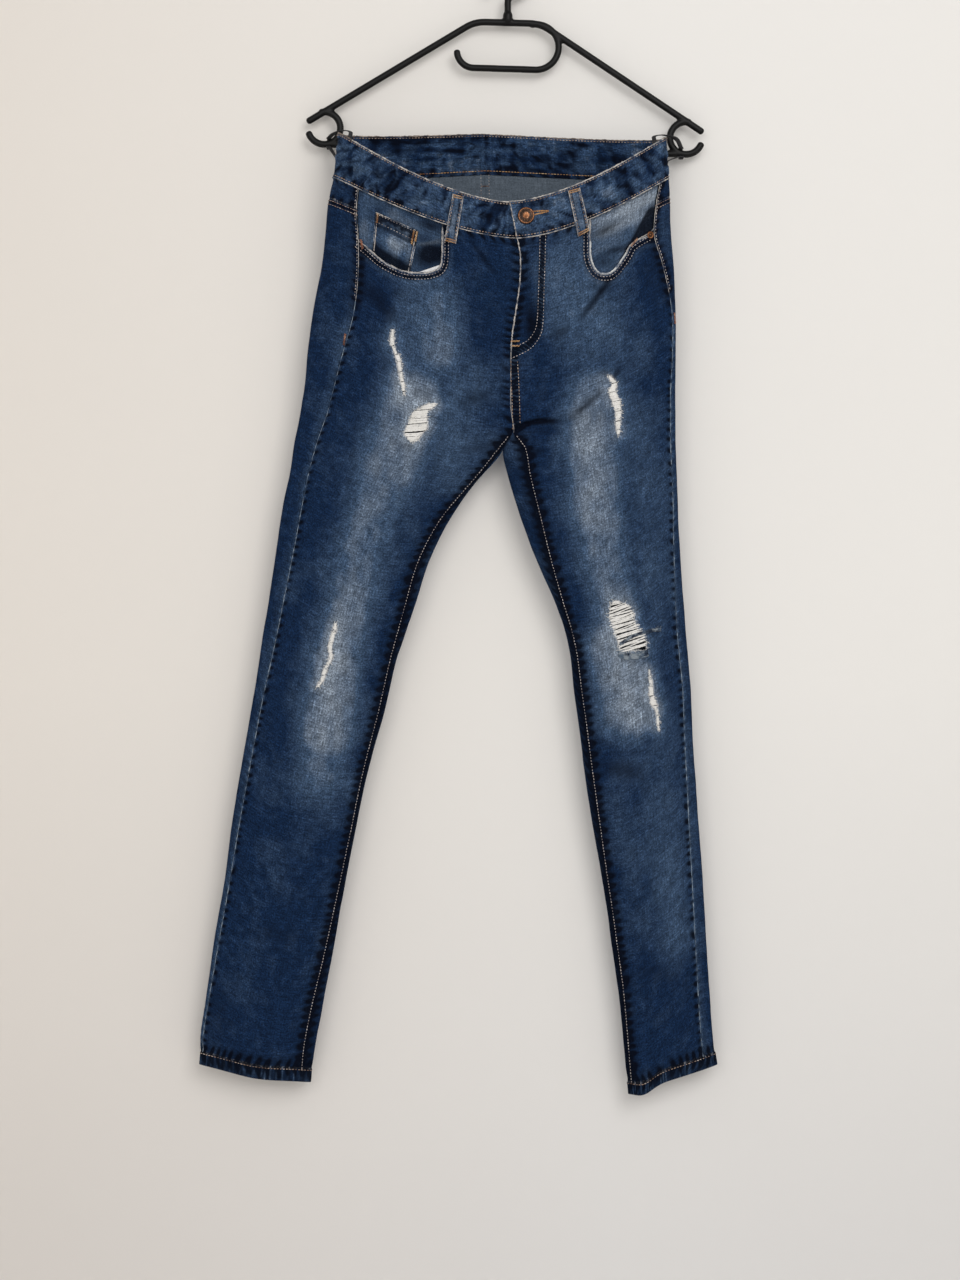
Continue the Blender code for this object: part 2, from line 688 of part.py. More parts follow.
def make_facings(body):
    """The hip pieces that show through the pocket openings, behind the front panels."""
    for side in ("right", "left"):
        faces = body.pick(side, WAIST_ROW, FACING_FOOT_ROW, FIRST_BACK - FACING_COLUMNS, FIRST_BACK)
        wall_solid(f"pocket_facing_{side}", body.points, body.normals, faces,
                   -FACING_DEPTH, -FACING_DEPTH - LINING_WALL, PALE_DENIM)


def make_weft_plates(body):
    """The bared weft threads that fill each rip, as one thin plate just below the cloth's face."""
    top, under = 0.25, 1.05
    for rip in RIPS:
        points = []
        for depth in (top, under):
            for row in rip.rows:
                for x in (row.left, (row.left + row.right) / 2, row.right):
                    point, _ = body.at(x, row.z, "front")
                    points.append(point + (0, depth, 0))
        obj = grid_solid(rip.name, points, len(rip.rows), 3, WHITE_COTTON)
        outward_faces(obj.data)


def grid_solid(name, points, rows, columns, finish):
    """A closed slab from two grids of points, the upper one first."""
    count = rows * columns
    faces = []
    for i in range(rows - 1):
        for j in range(columns - 1):
            a = i * columns + j
            quad = [a, a + 1, a + columns + 1, a + columns]
            faces.append(quad)
            faces.append([corner + count for corner in reversed(quad)])
    rim = list(range(columns - 1))
    rim += [i * columns + columns - 1 for i in range(rows - 1)]
    rim += [count - 1 - j for j in range(columns - 1)]
    rim += [(rows - 1 - i) * columns for i in range(rows - 1)]
    for start, end in zip(rim, rim[1:] + rim[:1]):
        faces.append([end, start, start + count, end + count])
    return add_object(name, points, faces, finish)


def patch_points(body, patch, rows, columns):
    """Two grids read off the cloth between a patch's four corners, at its two heights."""
    high, low = [], []
    for i in range(rows):
        down = i / (rows - 1)
        lift = patch.arch * math.sin(math.pi * down)
        for j in range(columns):
            across = j / (columns - 1)
            corner_top = np.array(patch.top_left) * (1 - across) + np.array(patch.top_right) * across
            corner_foot = (
                np.array(patch.foot_left) * (1 - across) + np.array(patch.foot_right) * across
            )
            x, z = corner_top * (1 - down) + corner_foot * down
            point, normal = body.at(x, z, patch.face)
            high.append(point + normal * (patch.high + lift))
            low.append(point + normal * (patch.low + lift))
    return high + low


def make_patch(body, patch, rows, columns, finish):
    obj = grid_solid(patch.name, patch_points(body, patch, rows, columns), rows, columns, finish)
    outward_faces(obj.data)


def make_back_pockets(body):
    rows, columns = 8, 9
    low, high = 0.7, 1.8
    for pocket in BACK_POCKETS:
        upper, lower = [], []
        for i in range(rows):
            down = i / (rows - 1)
            half = pocket.half_top + (pocket.half_foot - pocket.half_top) * down
            for j in range(columns):
                across = 2 * j / (columns - 1) - 1
                height = pocket.side_height + pocket.point * (1 - abs(across))
                x = pocket.centre_x + across * half
                point, normal = body.at(x, pocket.top_z - height * down, "back")
                upper.append(point + normal * high)
                lower.append(point + normal * low)
        obj = grid_solid(pocket.name, upper + lower, rows, columns, INDIGO)
        outward_faces(obj.data)


# ================================================================ metal
def turned(name, body, place, lift, profile, finish, sides=20):
    """A round piece from (radius, height) pairs, standing on the cloth at a place."""
    point, normal = body.at(*place, "front")
    axis = Vector(normal)
    turn = Vector((0, 0, 1)).rotation_difference(axis).to_matrix()
    points = []
    for radius, height in profile:
        for k in range(sides):
            angle = 2 * math.pi * k / sides
            local = Vector((radius * math.cos(angle), radius * math.sin(angle), height + lift))
            points.append(np.array(turn @ local) + point)
    faces = [list(range(sides))[::-1], [k + sides * (len(profile) - 1) for k in range(sides)]]
    for ring in range(len(profile) - 1):
        for k in range(sides):
            a, b = ring * sides + k, ring * sides + (k + 1) % sides
            faces.append([a, b, b + sides, a + sides])
    obj = add_object(name, points, faces, finish)
    outward_faces(obj.data)


def make_metal(body):
    button = [(6.0, 0), (8.2, 0.6), (BUTTON_RADIUS, 1.6), (8.0, 2.6), (6.6, 2.5), (4.5, 3.1), (2.0, 3.5)]
    turned("button", body, BUTTON_AT, BAND_PROUD + SEAM_GAP + 0.3, button, COPPER)
    rivet = [(3.2, 0), (RIVET_RADIUS, 0.5), (3.2, 1.1), (2.2, 0.9), (1.2, 1.3)]
    turned("rivet_left", body, RIVET_AT, SEAM_GAP + 0.2, rivet, COPPER, 14)


# ================================================================ hanger and tapes
def arc(centre, radius, start, end, steps):
    """Points on a circle in the front view, by angle in degrees."""
    return [
        (centre[0] + radius * math.cos(math.radians(start + (end - start) * k / steps)),
         centre[1] + radius * math.sin(math.radians(start + (end - start) * k / steps)))
        for k in range(steps + 1)
    ]


def bend(before, corner, after, radius, steps=4):
    """Points that round a corner off between two straight runs."""
    corner = np.array(corner, float)
    to_before = np.array(before) - corner
    to_after = np.array(after) - corner
    to_before /= np.linalg.norm(to_before)
    to_after /= np.linalg.norm(to_after)
    start, end = corner + to_before * radius, corner + to_after * radius
    rounded = []
    for k in range(steps + 1):
        t = k / steps
        rounded.append(tuple((1 - t) ** 2 * start + 2 * t * (1 - t) * corner + t**2 * end))
    return rounded


def tube(name, path, radius, sides=10, turn=0.0):
    """A closed round bar along a path in the front view, with rounded-off ends."""
    path = [np.array((x, 0.0, z)) for x, z in path]
    tangents = [path[1] - path[0]]
    tangents += [after - before for before, after in zip(path, path[2:])]
    tangents.append(path[-1] - path[-2])
    tangents = [t / np.linalg.norm(t) for t in tangents]
    rings = [(path[0] - tangents[0] * radius * 0.45, radius * 0.6, tangents[0])]
    rings += [(p, radius, t) for p, t in zip(path, tangents)]
    rings.append((path[-1] + tangents[-1] * radius * 0.45, radius * 0.6, tangents[-1]))
    points = []
    for place, size, tangent in rings:
        across = np.cross((0, 1, 0), tangent)
        for k in range(sides):
            angle = 2 * math.pi * (k + turn) / sides
            points.append(place + size * (across * math.cos(angle) + np.array((0, 1, 0)) * math.sin(angle)))
    faces = [list(range(sides)), [k + sides * (len(rings) - 1) for k in reversed(range(sides))]]
    for ring in range(len(rings) - 1):
        for k in range(sides):
            a, b = ring * sides + k, ring * sides + (k + 1) % sides
            faces.append([a, a + sides, b + sides, b])
    obj = add_object(name, points, faces, BLACK_PLASTIC)
    outward_faces(obj.data)
    return obj


def make_hanger():
    radius = TUBE_RADIUS
    frame = [SHOULDER_LEFT]
    frame += bend(SHOULDER_LEFT, TOP_BAR_LEFT, TOP_BAR_RIGHT, SHOULDER_BEND)
    frame += bend(TOP_BAR_LEFT, TOP_BAR_RIGHT, SHOULDER_RIGHT, SHOULDER_BEND)
    frame += [SHOULDER_RIGHT]
    hanger = tube("hanger", frame, radius)
    ring_left = arc(RING_LEFT, RING_RADIUS, 100, -160, 17)
    ring_right = arc(RING_RIGHT, RING_RADIUS, 80, 336, 17)
    bar = [(RING_LEFT[0], RING_LEFT[1] - RING_RADIUS), (RING_RIGHT[0], RING_RIGHT[1] - RING_RADIUS)]
    accessory = arc(ACCESSORY_CENTRE, ACCESSORY_RADIUS, 100, -88, 11)
    accessory += arc(ACCESSORY_CURL, ACCESSORY_CURL_RADIUS, 270, 184, 6)
    hook_centre = (0.0, radius - HOOK_RADIUS)
    hook = [(0, -61), (0, -50)] + bend((0, -50), (0, -36), (15.6, -31.4), 4.5, 3)
    hook += arc(hook_centre, HOOK_RADIUS, -42, 212, 17)
    collar = [(0, -60), (0, -54)]
    pieces = [
        tube("helper_ring_left", ring_left, radius + 0.07, turn=0.3),
        tube("helper_ring_right", ring_right, radius + 0.07, turn=0.3),
        tube("helper_bar", bar, radius - 0.09, turn=0.5),
        tube("helper_accessory", accessory, radius - 0.06, turn=0.4),
        tube("helper_hook", hook, radius - 0.02, turn=0.2),
        tube("helper_collar", collar, radius + 1.5, turn=0.1),
    ]
    for piece in pieces:
        piece.hide_render = True
        piece.display_type = "WIRE"
        boolean(hanger, piece, "UNION")


def make_tape(name, path):
    """A woven tape along a path of (place, direction of its width)."""
    places = [np.array(place, float) for place, _ in path]
    tangents = [places[1] - places[0]]
    tangents += [after - before for before, after in zip(places, places[2:])]
    tangents.append(places[-1] - places[-2])
    upper, lower = [], []
    for place, tangent, (_, across) in zip(places, tangents, path):
        across = np.array(across, float)
        across -= tangent * (across @ tangent) / (tangent @ tangent)
        across /= np.linalg.norm(across)
        out = np.cross(tangent, across)
        out *= TAPE_WALL / 2 / np.linalg.norm(out)
        for side in (-TAPE_WIDTH / 2, TAPE_WIDTH / 2):
            upper.append(place + across * side + out)
            lower.append(place + across * side - out)
    obj = grid_solid(name, upper + lower, len(path), 2, BLACK_TAPE)
    outward_faces(obj.data)


# Where a tape is sewn inside the waistband, where it loops the bar, and where its end is tacked.
Tape = namedtuple("Tape", "name sewn_x sewn_z top_z bar_x lean tack_x tack_z")
TAPES = [
    Tape("hanging_tape_right", -165.5, -208, -181, -187.5, 1.15, -175.5, -213),
    Tape("hanging_tape_left", 153.5, -214, -186, 181.5, 1.1, 162.5, -218),
]


def make_tapes(body):
    """Each tape comes up inside the waistband's corner, over its edge and round the bar."""
    clear_depth = TUBE_RADIUS + TAPE_WALL / 2 + 0.85
    clear_height = TUBE_RADIUS + TAPE_WALL / 2 + 2.05  # the ring joins the bar there
    for tape in TAPES:
        share = (tape.bar_x - RING_LEFT[0]) / (RING_RIGHT[0] - RING_LEFT[0])
        bar_z = RING_LEFT[1] + (RING_RIGHT[1] - RING_LEFT[1]) * share - RING_RADIUS + tape.lean
        inside = BAND_WALL - BAND_PROUD + SEAM_GAP + 0.45 + TAPE_WALL / 2
        path = []
        for z in (tape.sewn_z, (tape.sewn_z + tape.top_z - 6) / 2, tape.top_z - 6):
            point, normal = body.at(tape.sewn_x, z, "back")
            along = np.cross(normal, (0, 0, 1))
            path.append((point - normal * inside, along))
            rim = path[-1][0]
        along = path[-1][1]
        path.append((rim + (0, 1.0, 5.2), along))
        over = np.array((tape.bar_x, 0, bar_z))
        way = over - rim
        path.append((rim + (way[0] * 0.35, 6, 7.6), along + (0.6 * np.sign(along[0]), 0, 0)))
        path.append((rim + (way[0] * 0.8, 14, 5.5), (np.sign(along[0]), 0, 0)))
        for degrees in (135, 108, 80, 50, 20, -15, -50, -80, -110, -140):
            angle = math.radians(degrees)
            ring = (0, clear_depth * math.cos(angle), clear_height * math.sin(angle))
            path.append((over + ring, (np.sign(along[0]), 0, 0)))
        point, normal = body.at(tape.tack_x, tape.tack_z, "back")
        outside = BAND_PROUD + SEAM_GAP + 0.2 + TAPE_WALL / 2
        along_end = np.cross(normal, (0, 0, 1))
        for drop, rise in ((5, 3.2), (0, 0), (-7, 0)):
            point, normal = body.at(tape.tack_x, tape.tack_z + drop, "back")
            path.append((point + normal * (outside + rise), along_end))
        make_tape(tape.name, path)


def main():
    clear_scene()
    body = Body()
    make_panels(body)
    make_waistband(body)
    cut_openings()
    make_facings(body)
    make_patch(body, COIN_POCKET, 4, 4, PALE_DENIM)
    make_patch(body, POCKETING, 2, 4, WHITE_COTTON)
    for loop in BELT_LOOPS:
        make_patch(body, loop, 6, 3, INDIGO)
    make_back_pockets(body)
    make_weft_plates(body)
    make_metal(body)
    make_hanger()
    make_tapes(body)


main()
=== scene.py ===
"""Ripped skinny jeans on a plastic hanger: the finished look of every piece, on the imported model."""

import json
import math
from collections import namedtuple
from functools import cache, reduce

import bmesh
import bpy
import numpy as np
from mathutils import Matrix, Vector
from mathutils.bvhtree import BVHTree
from mathutils.kdtree import KDTree

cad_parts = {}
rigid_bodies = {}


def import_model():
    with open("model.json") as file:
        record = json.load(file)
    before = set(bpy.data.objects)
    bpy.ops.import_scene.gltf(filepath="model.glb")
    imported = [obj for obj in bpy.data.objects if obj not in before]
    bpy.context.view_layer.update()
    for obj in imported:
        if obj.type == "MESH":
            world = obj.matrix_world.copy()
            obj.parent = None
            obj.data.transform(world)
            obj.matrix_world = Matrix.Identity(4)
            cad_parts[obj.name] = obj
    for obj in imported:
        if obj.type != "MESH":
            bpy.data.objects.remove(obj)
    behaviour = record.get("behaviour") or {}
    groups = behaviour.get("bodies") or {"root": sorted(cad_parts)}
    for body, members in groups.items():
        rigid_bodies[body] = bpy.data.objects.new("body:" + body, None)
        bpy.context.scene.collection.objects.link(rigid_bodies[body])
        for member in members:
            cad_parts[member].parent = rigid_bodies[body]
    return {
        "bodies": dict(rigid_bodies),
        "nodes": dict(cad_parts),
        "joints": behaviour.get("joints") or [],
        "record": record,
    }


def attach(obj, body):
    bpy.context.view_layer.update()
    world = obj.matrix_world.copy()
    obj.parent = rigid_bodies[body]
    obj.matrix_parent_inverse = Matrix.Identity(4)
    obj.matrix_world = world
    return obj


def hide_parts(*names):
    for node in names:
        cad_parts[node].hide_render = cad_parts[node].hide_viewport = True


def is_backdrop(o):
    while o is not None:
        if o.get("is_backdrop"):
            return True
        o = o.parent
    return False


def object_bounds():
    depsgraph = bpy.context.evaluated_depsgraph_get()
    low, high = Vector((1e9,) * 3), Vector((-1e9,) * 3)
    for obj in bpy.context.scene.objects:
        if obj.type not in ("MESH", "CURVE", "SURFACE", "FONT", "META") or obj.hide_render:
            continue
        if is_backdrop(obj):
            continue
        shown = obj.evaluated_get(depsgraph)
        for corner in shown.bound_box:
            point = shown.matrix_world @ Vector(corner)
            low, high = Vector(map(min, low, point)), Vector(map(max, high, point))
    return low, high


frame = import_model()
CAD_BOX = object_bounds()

bl_info = {
    "name": "Ripped Jeans on a Hanger",
    "version": (1, 0, 0),
    "blender": (4, 5, 0),
    "location": "3D View > Sidebar > Jeans",
    "description": "Builds ripped skinny jeans in washed denim, hung by tapes on a plastic hanger",
    "category": "Add Mesh",
}

MM = 0.001
BODY = "root"
SIDES = ("right", "left")

# ---------------------------------------------------------------- the garment, in millimetres
SEAM_GAP = 0.3
DENIM_WALL = 1.2
BAND_WALL, BAND_PROUD = 2.6, 0.5
HEM_WALL, HEM_PROUD = 2.4, 0.6
FACING_DEPTH, LINING_WALL = 2.8, 1.0
UNDERLAP_COLUMNS, RISE_COLUMNS, COARSE_FRONT = 3, 3, 9
TURN_WEIGHT = 7.0  # how much a turn in the outline draws columns to it
TAPE_WIDTH = 4.8


def table(kind, *rows):
    """Rows of plain numbers under a namedtuple's column names."""
    return [kind(*row) for row in rows]


# The centre line's front and back, and how deep, open and sagging the trunk is there.
Centre = namedtuple("Centre", "front_x front_z back_x back_z depth back_y open sag")
CENTRE = table(
    Centre,
    (1, -261, -25, -181.5, 52, -9, 1, 1), (8.5, -299, -24, -224, 52, -9, 1, 1),
    (11.5, -314.5, -23, -290, 51, -7, 1, 0.95), (11.5, -339, -21, -320, 48, -5, 1, 0.8),
    (8, -366, -18, -348.5, 45, -4, 1, 0.6), (3, -401.5, -15, -386.5, 42, -4, 1, 0.45),
    (2, -439.5, -11, -426.5, 39, -4, 0.96, 0.3), (2.5, -474, -8, -463, 37, -4, 0.8, 0.15),
    (5, -495.5, -6, -491, 35, -4, 0.45, 0.05),
)
# The hips' outer edge, and what share of the width the front panel leaves to the back panel.
Edge = namedtuple("Edge", "outer_x outer_z side_share")
TRUNK = {
    "right": table(
        Edge, (-175.5, -186, 0.11), (-180.5, -232.5, 0.139), (-185.5, -253, 0.15), (-188.5, -279, 0.17),
        (-193, -318, 0.192), (-201, -362, 0.205), (-208, -410, 0.175), (-212, -450, 0.143), (-216, -473, 0.13)),
    "left": table(
        Edge, (163, -191, 0.045), (166, -233.5, 0.062), (167, -251.5, 0.095), (168, -279, 0.114),
        (171, -319, 0.07), (173.5, -362, 0.028), (174, -410, 0.02), (174, -450, 0.032), (174, -474, 0.033)),
}
LEG_BACK_Y = -4
Leg = namedtuple("Leg", "outer_x outer_z inner_x inner_z depth side_share inseam_share")
LEG = {
    "right": table(
        Leg,
        (-221, -497, -5, -511, 34, 0.118, 0.985), (-226, -531, -31, -543, 33, 0.106, 0.985),
        (-234, -569, -61, -585, 32, 0.12, 0.957), (-240, -611, -82.5, -629, 31, 0.12, 0.943),
        (-247, -658, -97, -675, 30, 0.109, 0.944), (-256, -710, -115, -727, 29, 0.104, 0.965),
        (-266, -772, -129.5, -789, 27, 0.08, 0.966), (-276.5, -835, -147, -851, 25, 0.073, 0.975),
        (-287, -897, -160, -914, 24, 0.066, 0.975), (-295.5, -959, -172, -976, 22, 0.05, 0.965),
        (-306, -1022, -183, -1038, 20, 0.043, 0.945), (-315, -1084, -195, -1101, 18, 0.028, 0.92),
        (-320, -1121, -202, -1138, 17, 0.022, 0.92), (-320.5, -1138.5, -204.5, -1156.5, 16, 0.02, 0.926),
        (-321.5, -1152, -206, -1170.5, 16, 0.02, 0.93)),
    "left": table(
        Leg,
        (174, -499, -5, -511, 34, 0.032, 0.885), (175, -527, 1, -543, 33, 0.032, 0.88),
        (176.5, -567, 13.5, -585, 32, 0.032, 0.885), (178.5, -610, 30, -627, 31, 0.045, 0.914),
        (181.5, -653, 48, -668, 30, 0.063, 0.95), (185, -695, 61.5, -710, 29, 0.08, 0.955),
        (190, -759, 70, -772, 27, 0.075, 0.947), (193, -821, 78, -835, 25, 0.08, 0.941),
        (197.5, -883.5, 87.5, -897, 24, 0.094, 0.946), (202, -947, 98, -959.5, 22, 0.11, 0.958),
        (206, -1009, 107, -1022, 20, 0.12, 0.956), (210, -1072, 115.5, -1084, 18, 0.131, 0.957),
        (213, -1113, 121, -1131, 17, 0.136, 0.968), (216, -1139.5, 125, -1169, 16, 0.14, 0.975),
        (218, -1152.5, 126, -1181.5, 16, 0.14, 0.975)),
}
TRUNK_ROUND, LEG_ROUND, ROUND_POWER, SAG_POWER = 0.62, 0.5, 2.35, 1.62
# How far each hem droops: at this x, by so much, over so much to each side.
HEM_DROOP = {"right": (-262, 4.6, 36), "left": (141, 6.6, 13)}

BAND_TOP_ROW, WAIST_ROW, YOKE_ROW, FACING_FOOT_ROW = 0, 1, 2, 5
SIDE_SEAM_ROW = 4.6  # where the side seam stops standing proud
MEET_ROW = len(CENTRE) - 1
HEM_ROW = len(CENTRE) + len(LEG["right"]) - 2
HEM_FOOT_ROW = HEM_ROW + 1

# Soft ridges (+) and troughs (-) along a line, each fading at both ends.
Fold = namedtuple("Fold", "from_x from_z to_x to_z reach height")
FOLDS = {
    "front": table(
        Fold,
        (8, -494, 60, -486, 7, -3.0), (60, -487, 112, -447, 9, 2.6), (112, -446, 125, -418, 9, 1.6),
        (112, -334, 70, -388, 12, -2.0), (-45, -296, -8, -342, 9, -1.5), (-14, -500, -95, -470, 14, 2.2),
        (-40, -560, -120, -512, 16, -2.4), (22, -560, 90, -520, 15, 2.0), (128, -700, 90, -660, 12, -2.0),
        (146, -722, 144, -742, 10, 2.0), (-150, -700, -215, -690, 14, -1.8),
        (-160, -760, -240, -745, 15, 1.8), (95, -790, 175, -775, 14, -1.6)),
    "back": table(
        Fold,
        (-10, -470, -110, -500, 16, -3.0), (0, -470, 100, -500, 16, -3.0), (-40, -540, -190, -560, 18, 2.4),
        (20, -545, 150, -560, 18, 2.4), (-130, -720, -240, -735, 16, -2.4), (-135, -770, -250, -765, 15, -2.0),
        (75, -725, 175, -735, 16, -2.4), (80, -780, 180, -770, 15, -2.0)),
}
# Finer creases that only the cloth's own surface carries, on top of the folds.
CREASES = {
    "front": table(
        Fold,
        (-2, -497, 24, -485, 2.6, -2.6), (12, -488, 40, -483, 2.2, -2.2), (20, -484, 58, -484, 3.5, -1.3),
        (56, -488, 104, -448, 4, -1.0), (104, -448, 118, -424, 3.5, -1.0), (112, -330, 68, -388, 4, -1.2),
        (66, -385, 40, -402, 6, -0.8), (-46, -292, -6, -344, 3, -0.8), (-52, -300, -20, -352, 6, 0.7),
        (-104, -330, -60, -352, 7, 0.8), (-150, -340, -110, -390, 9, -0.8), (-170, -430, -110, -470, 9, 0.9),
        (-60, -470, -10, -452, 8, -0.7), (-60, -520, -8, -505, 5, -0.45), (-70, -548, -20, -520, 5, 0.9),
        (30, -512, 66, -498, 5, 0.9), (16, -520, 48, -508, 4, -0.8), (130, -470, 168, -440, 8, 0.8),
        (120, -620, 150, -560, 12, 0.8), (146, -722, 145, -746, 3.5, -0.35), (113, -722, 104, -746, 2, -0.5),
        (100, -715, 92, -752, 6, 0.9), (-150, -640, -130, -700, 9, 0.8), (-230, -880, -170, -872, 11, 0.8),
        (90, -840, 150, -850, 10, -0.8), (110, -930, 190, -915, 12, 0.8), (-280, -1010, -200, -1020, 12, -0.45),
        (118, -1050, 190, -1062, 11, -0.45), (-300, -1118, -230, -1128, 8, 0.8), (130, -1128, 190, -1112, 8, 0.8)),
    "back": table(
        Fold,
        (-30, -470, -70, -520, 7, -1.3), (10, -472, 60, -520, 7, -1.3), (-60, -500, -150, -505, 8, 1.1),
        (40, -500, 130, -508, 8, 1.1), (-120, -700, -220, -712, 8, -1.2), (-130, -750, -235, -742, 8, 1.2),
        (85, -700, 165, -712, 8, -1.2), (80, -752, 170, -742, 8, 1.2), (-150, -840, -260, -850, 10, -0.9),
        (90, -850, 180, -838, 10, -0.9)),
}
# Where the dye has been washed out: strokes with a reach and how much is gone.
Fade = namedtuple("Fade", "from_x from_z to_x to_z reach amount")
FADES = {
    "front": table(
        Fade,
        (-104, -462, -122, -530, 34, 0.80), (-124, -535, -156, -638, 30, 0.64), (-156, -638, -178, -735, 27, 0.70),
        (-178, -735, -187, -808, 27, 0.90), (-187, -808, -194, -852, 31, 0.46), (-84, -352, -70, -410, 31, 0.44),
        (-100, -380, -104, -440, 26, 0.30), (-50, -440, -64, -525, 40, 0.25), (86, -452, 82, -486, 25, 0.66),
        (82, -486, 95, -590, 27, 0.86), (95, -590, 113, -680, 27, 0.70), (110, -712, 128, -785, 29, 0.92),
        (120, -486, 140, -690, 40, 0.24), (150, -540, 166, -690, 30, 0.16), (66, -330, 84, -400, 40, 0.36),
        (120, -350, 128, -420, 26, 0.18), (150, -800, 172, -1010, 26, 0.22), (130, -860, 150, -1000, 34, 0.12)),
    "back": table(
        Fade,
        (-110, -420, -90, -500, 55, 0.42), (85, -420, 70, -500, 55, 0.42), (-110, -540, -150, -660, 36, 0.38),
        (70, -540, 100, -660, 36, 0.38), (-190, -760, -215, -860, 30, 0.22), (130, -760, 150, -860, 30, 0.22)),
}
# Patches: in a hollow, more dye kept and painted shade; on a bulge, a paler rubbed place.
Patch = namedtuple("Patch", "x z half_x half_z fade shade")
PATCHES = table(
    Patch,
    (36, -494, 24, 4, -0.12, 0.26), (60, -486, 12, 4, -0.1, 0.08), (-26, -380, 16, 42, -0.1, 0.1),
    (24, -384, 8, 18, -0.1, 0.42), (20, -345, 6, 26, 0, 0.18), (6, -499, 8, 6, -0.1, 0.6),
    (-10, -505, 10, 6, 0, 0.4), (-22, -512, 22, 5, 0, 0.12), (94, -482, 26, 8, -0.1, 0.2),
    (-150, -318, 12, 40, -0.08, 0.2), (-120, -352, 30, 7, 0, 0.18), (148, -330, 14, 34, -0.05, 0.2),
    (96, -346, 18, 6, 0, 0.25), (-104, -510, 9, 5, 0, 0.3), (128, -729, 20, 3, 0, 0.25),
    (-180, -330, 16, 62, -0.12, 0.1), (-300, -1100, 16, 40, 0, 0.2), (-128, -425, 9, 30, 0, 0.12),
    (-88, -455, 10, 5, 0, 0.3), (98, -434, 5, 4, 0, 0.4),
)

# Openings as rows of slots, each a height with its left and right ends.
Slot = namedtuple("Slot", "z left right")
POCKET_SCOOPS = {
    "right": table(
        Slot, (-222, -173, -67.5), (-256.5, -173, -68), (-296, -166, -68), (-299, -154, -68),
        (-305, -146.5, -68), (-312, -138.5, -68), (-319, -130.5, -68.5), (-324.5, -121.5, -69.5),
        (-328.5, -113.5, -72), (-331, -106, -77.5), (-332.5, -97, -85)),
    "left": table(
        Slot, (-222, 84, 162), (-261.5, 84, 162), (-291, 84, 145.5), (-298, 84, 133.5), (-305, 84, 124.5),
        (-312, 84, 121), (-319, 85, 116.5), (-324.5, 87, 112.5), (-329.5, 90, 108.5), (-333, 95, 103)),
}
# Each rip with how its weft threads lie: how far apart, how much they climb, about how many between gaps.
Rip = namedtuple("Rip", "node side pitch climb between_gaps radius rows")
RIPS = [
    Rip("weft_right_thigh_slit", "right", 0.80, 0.25, 9, 0.60, table(
        Slot, (-391, -119.5, -118), (-398, -121.5, -117.8), (-404, -121.5, -117.5), (-412, -118.2, -115.8),
        (-420, -115.2, -110.8), (-430, -113.6, -109.8), (-438, -111.6, -109.3), (-447, -110.4, -106.8),
        (-456.5, -108.2, -106.6))),
    Rip("weft_right_thigh_patch", "right", 1.02, 0.08, 5, 0.62, table(
        Slot, (-467, -83.5, -73.5), (-471, -93.5, -78.5), (-476, -99.5, -83.5), (-483, -101.5, -83.5),
        (-491, -105.5, -83.5), (-498, -106.5, -89.5), (-504.5, -100.5, -94.5))),
    Rip("weft_right_knee_slit", "right", 0.80, 0.3, 11, 0.58, table(
        Slot, (-693, -179.5, -177.5), (-703, -182.5, -178.5), (-715, -186, -182), (-729, -185.5, -182),
        (-741, -191.5, -187.5), (-752, -194.5, -191), (-758, -198, -195.5))),
    Rip("weft_left_thigh_slit", "left", 0.80, 0.25, 9, 0.60, table(
        Slot, (-438, 102, 105.5), (-445, 107, 112), (-453, 104, 110.5), (-463.5, 106.5, 115.5),
        (-474, 110.5, 116.5), (-486.5, 111, 116), (-497, 113, 115))),
    Rip("weft_left_knee_patch", "left", 1.02, 0.36, 3, 0.66, table(
        Slot, (-670, 109, 114), (-674, 106, 123), (-683, 105, 130), (-692, 106.5, 130), (-701, 111, 137),
        (-709, 113, 142), (-717, 115, 143), (-720, 119, 141))),
    Rip("weft_left_knee_slit", "left", 0.80, 0.2, 10, 0.58, table(
        Slot, (-741, 145.6, 146.6), (-756, 146.2, 149.3), (-767, 146.6, 150.8), (-776, 148, 154),
        (-780.5, 151.6, 155.2), (-784, 153.6, 155.6), (-794, 154.4, 156.4), (-803, 155.4, 156.6))),
]
FLY_INNER = [(32.2, -297.5), (31.8, -322.5), (31.0, -352.4), (29.5, -382.8), (25.4, -395.0),
             (17.2, -403.5), (3.2, -408.4)]
FLY_OUTER = [(38.0, -297.0), (37.5, -322.5), (36.6, -352.4), (35.7, -382.8), (32.6, -397.1),
             (22.3, -410.3), (2.9, -420.0)]
BUTTONHOLE = [(24.5, -273.8), (32, -272.7), (41.0, -271.5)]
BUTTON_PLACE, RIVET_PLACE = (18, -276.5), (146, -293)


# ================================================================ smooth seeded noise and soft shapes
@cache
def lattice(seed):
    return np.random.default_rng(seed).uniform(-1, 1, (64, 64))


def noise(u, v, seed):
    """Smooth noise from -1 to 1 on a lattice one unit apart."""
    grid = lattice(seed)
    u, v = np.broadcast_arrays(np.asarray(u, float), np.asarray(v, float))
    i, j = np.floor(u).astype(int), np.floor(v).astype(int)
    a, b = u - i, v - j
    a, b = a * a * (3 - 2 * a), b * b * (3 - 2 * b)
    i0, i1, j0, j1 = i % 64, (i + 1) % 64, j % 64, (j + 1) % 64
    top = grid[i0, j0] * (1 - a) + grid[i1, j0] * a
    foot = grid[i0, j1] * (1 - a) + grid[i1, j1] * a
    return top * (1 - b) + foot * b


def flecks(u, v, seed):
    """The same noise from 0 to 1."""
    return 0.5 + 0.5 * noise(u, v, seed)


def bell(away, width, power=2):
    """1 where away is nothing, falling to almost nothing about two widths off."""
    return np.exp(-(np.abs(away / width) ** power))


def unit(vectors):
    """The same vectors, one long."""
    return vectors / np.maximum(np.linalg.norm(vectors, axis=-1), 1e-12)[..., None]


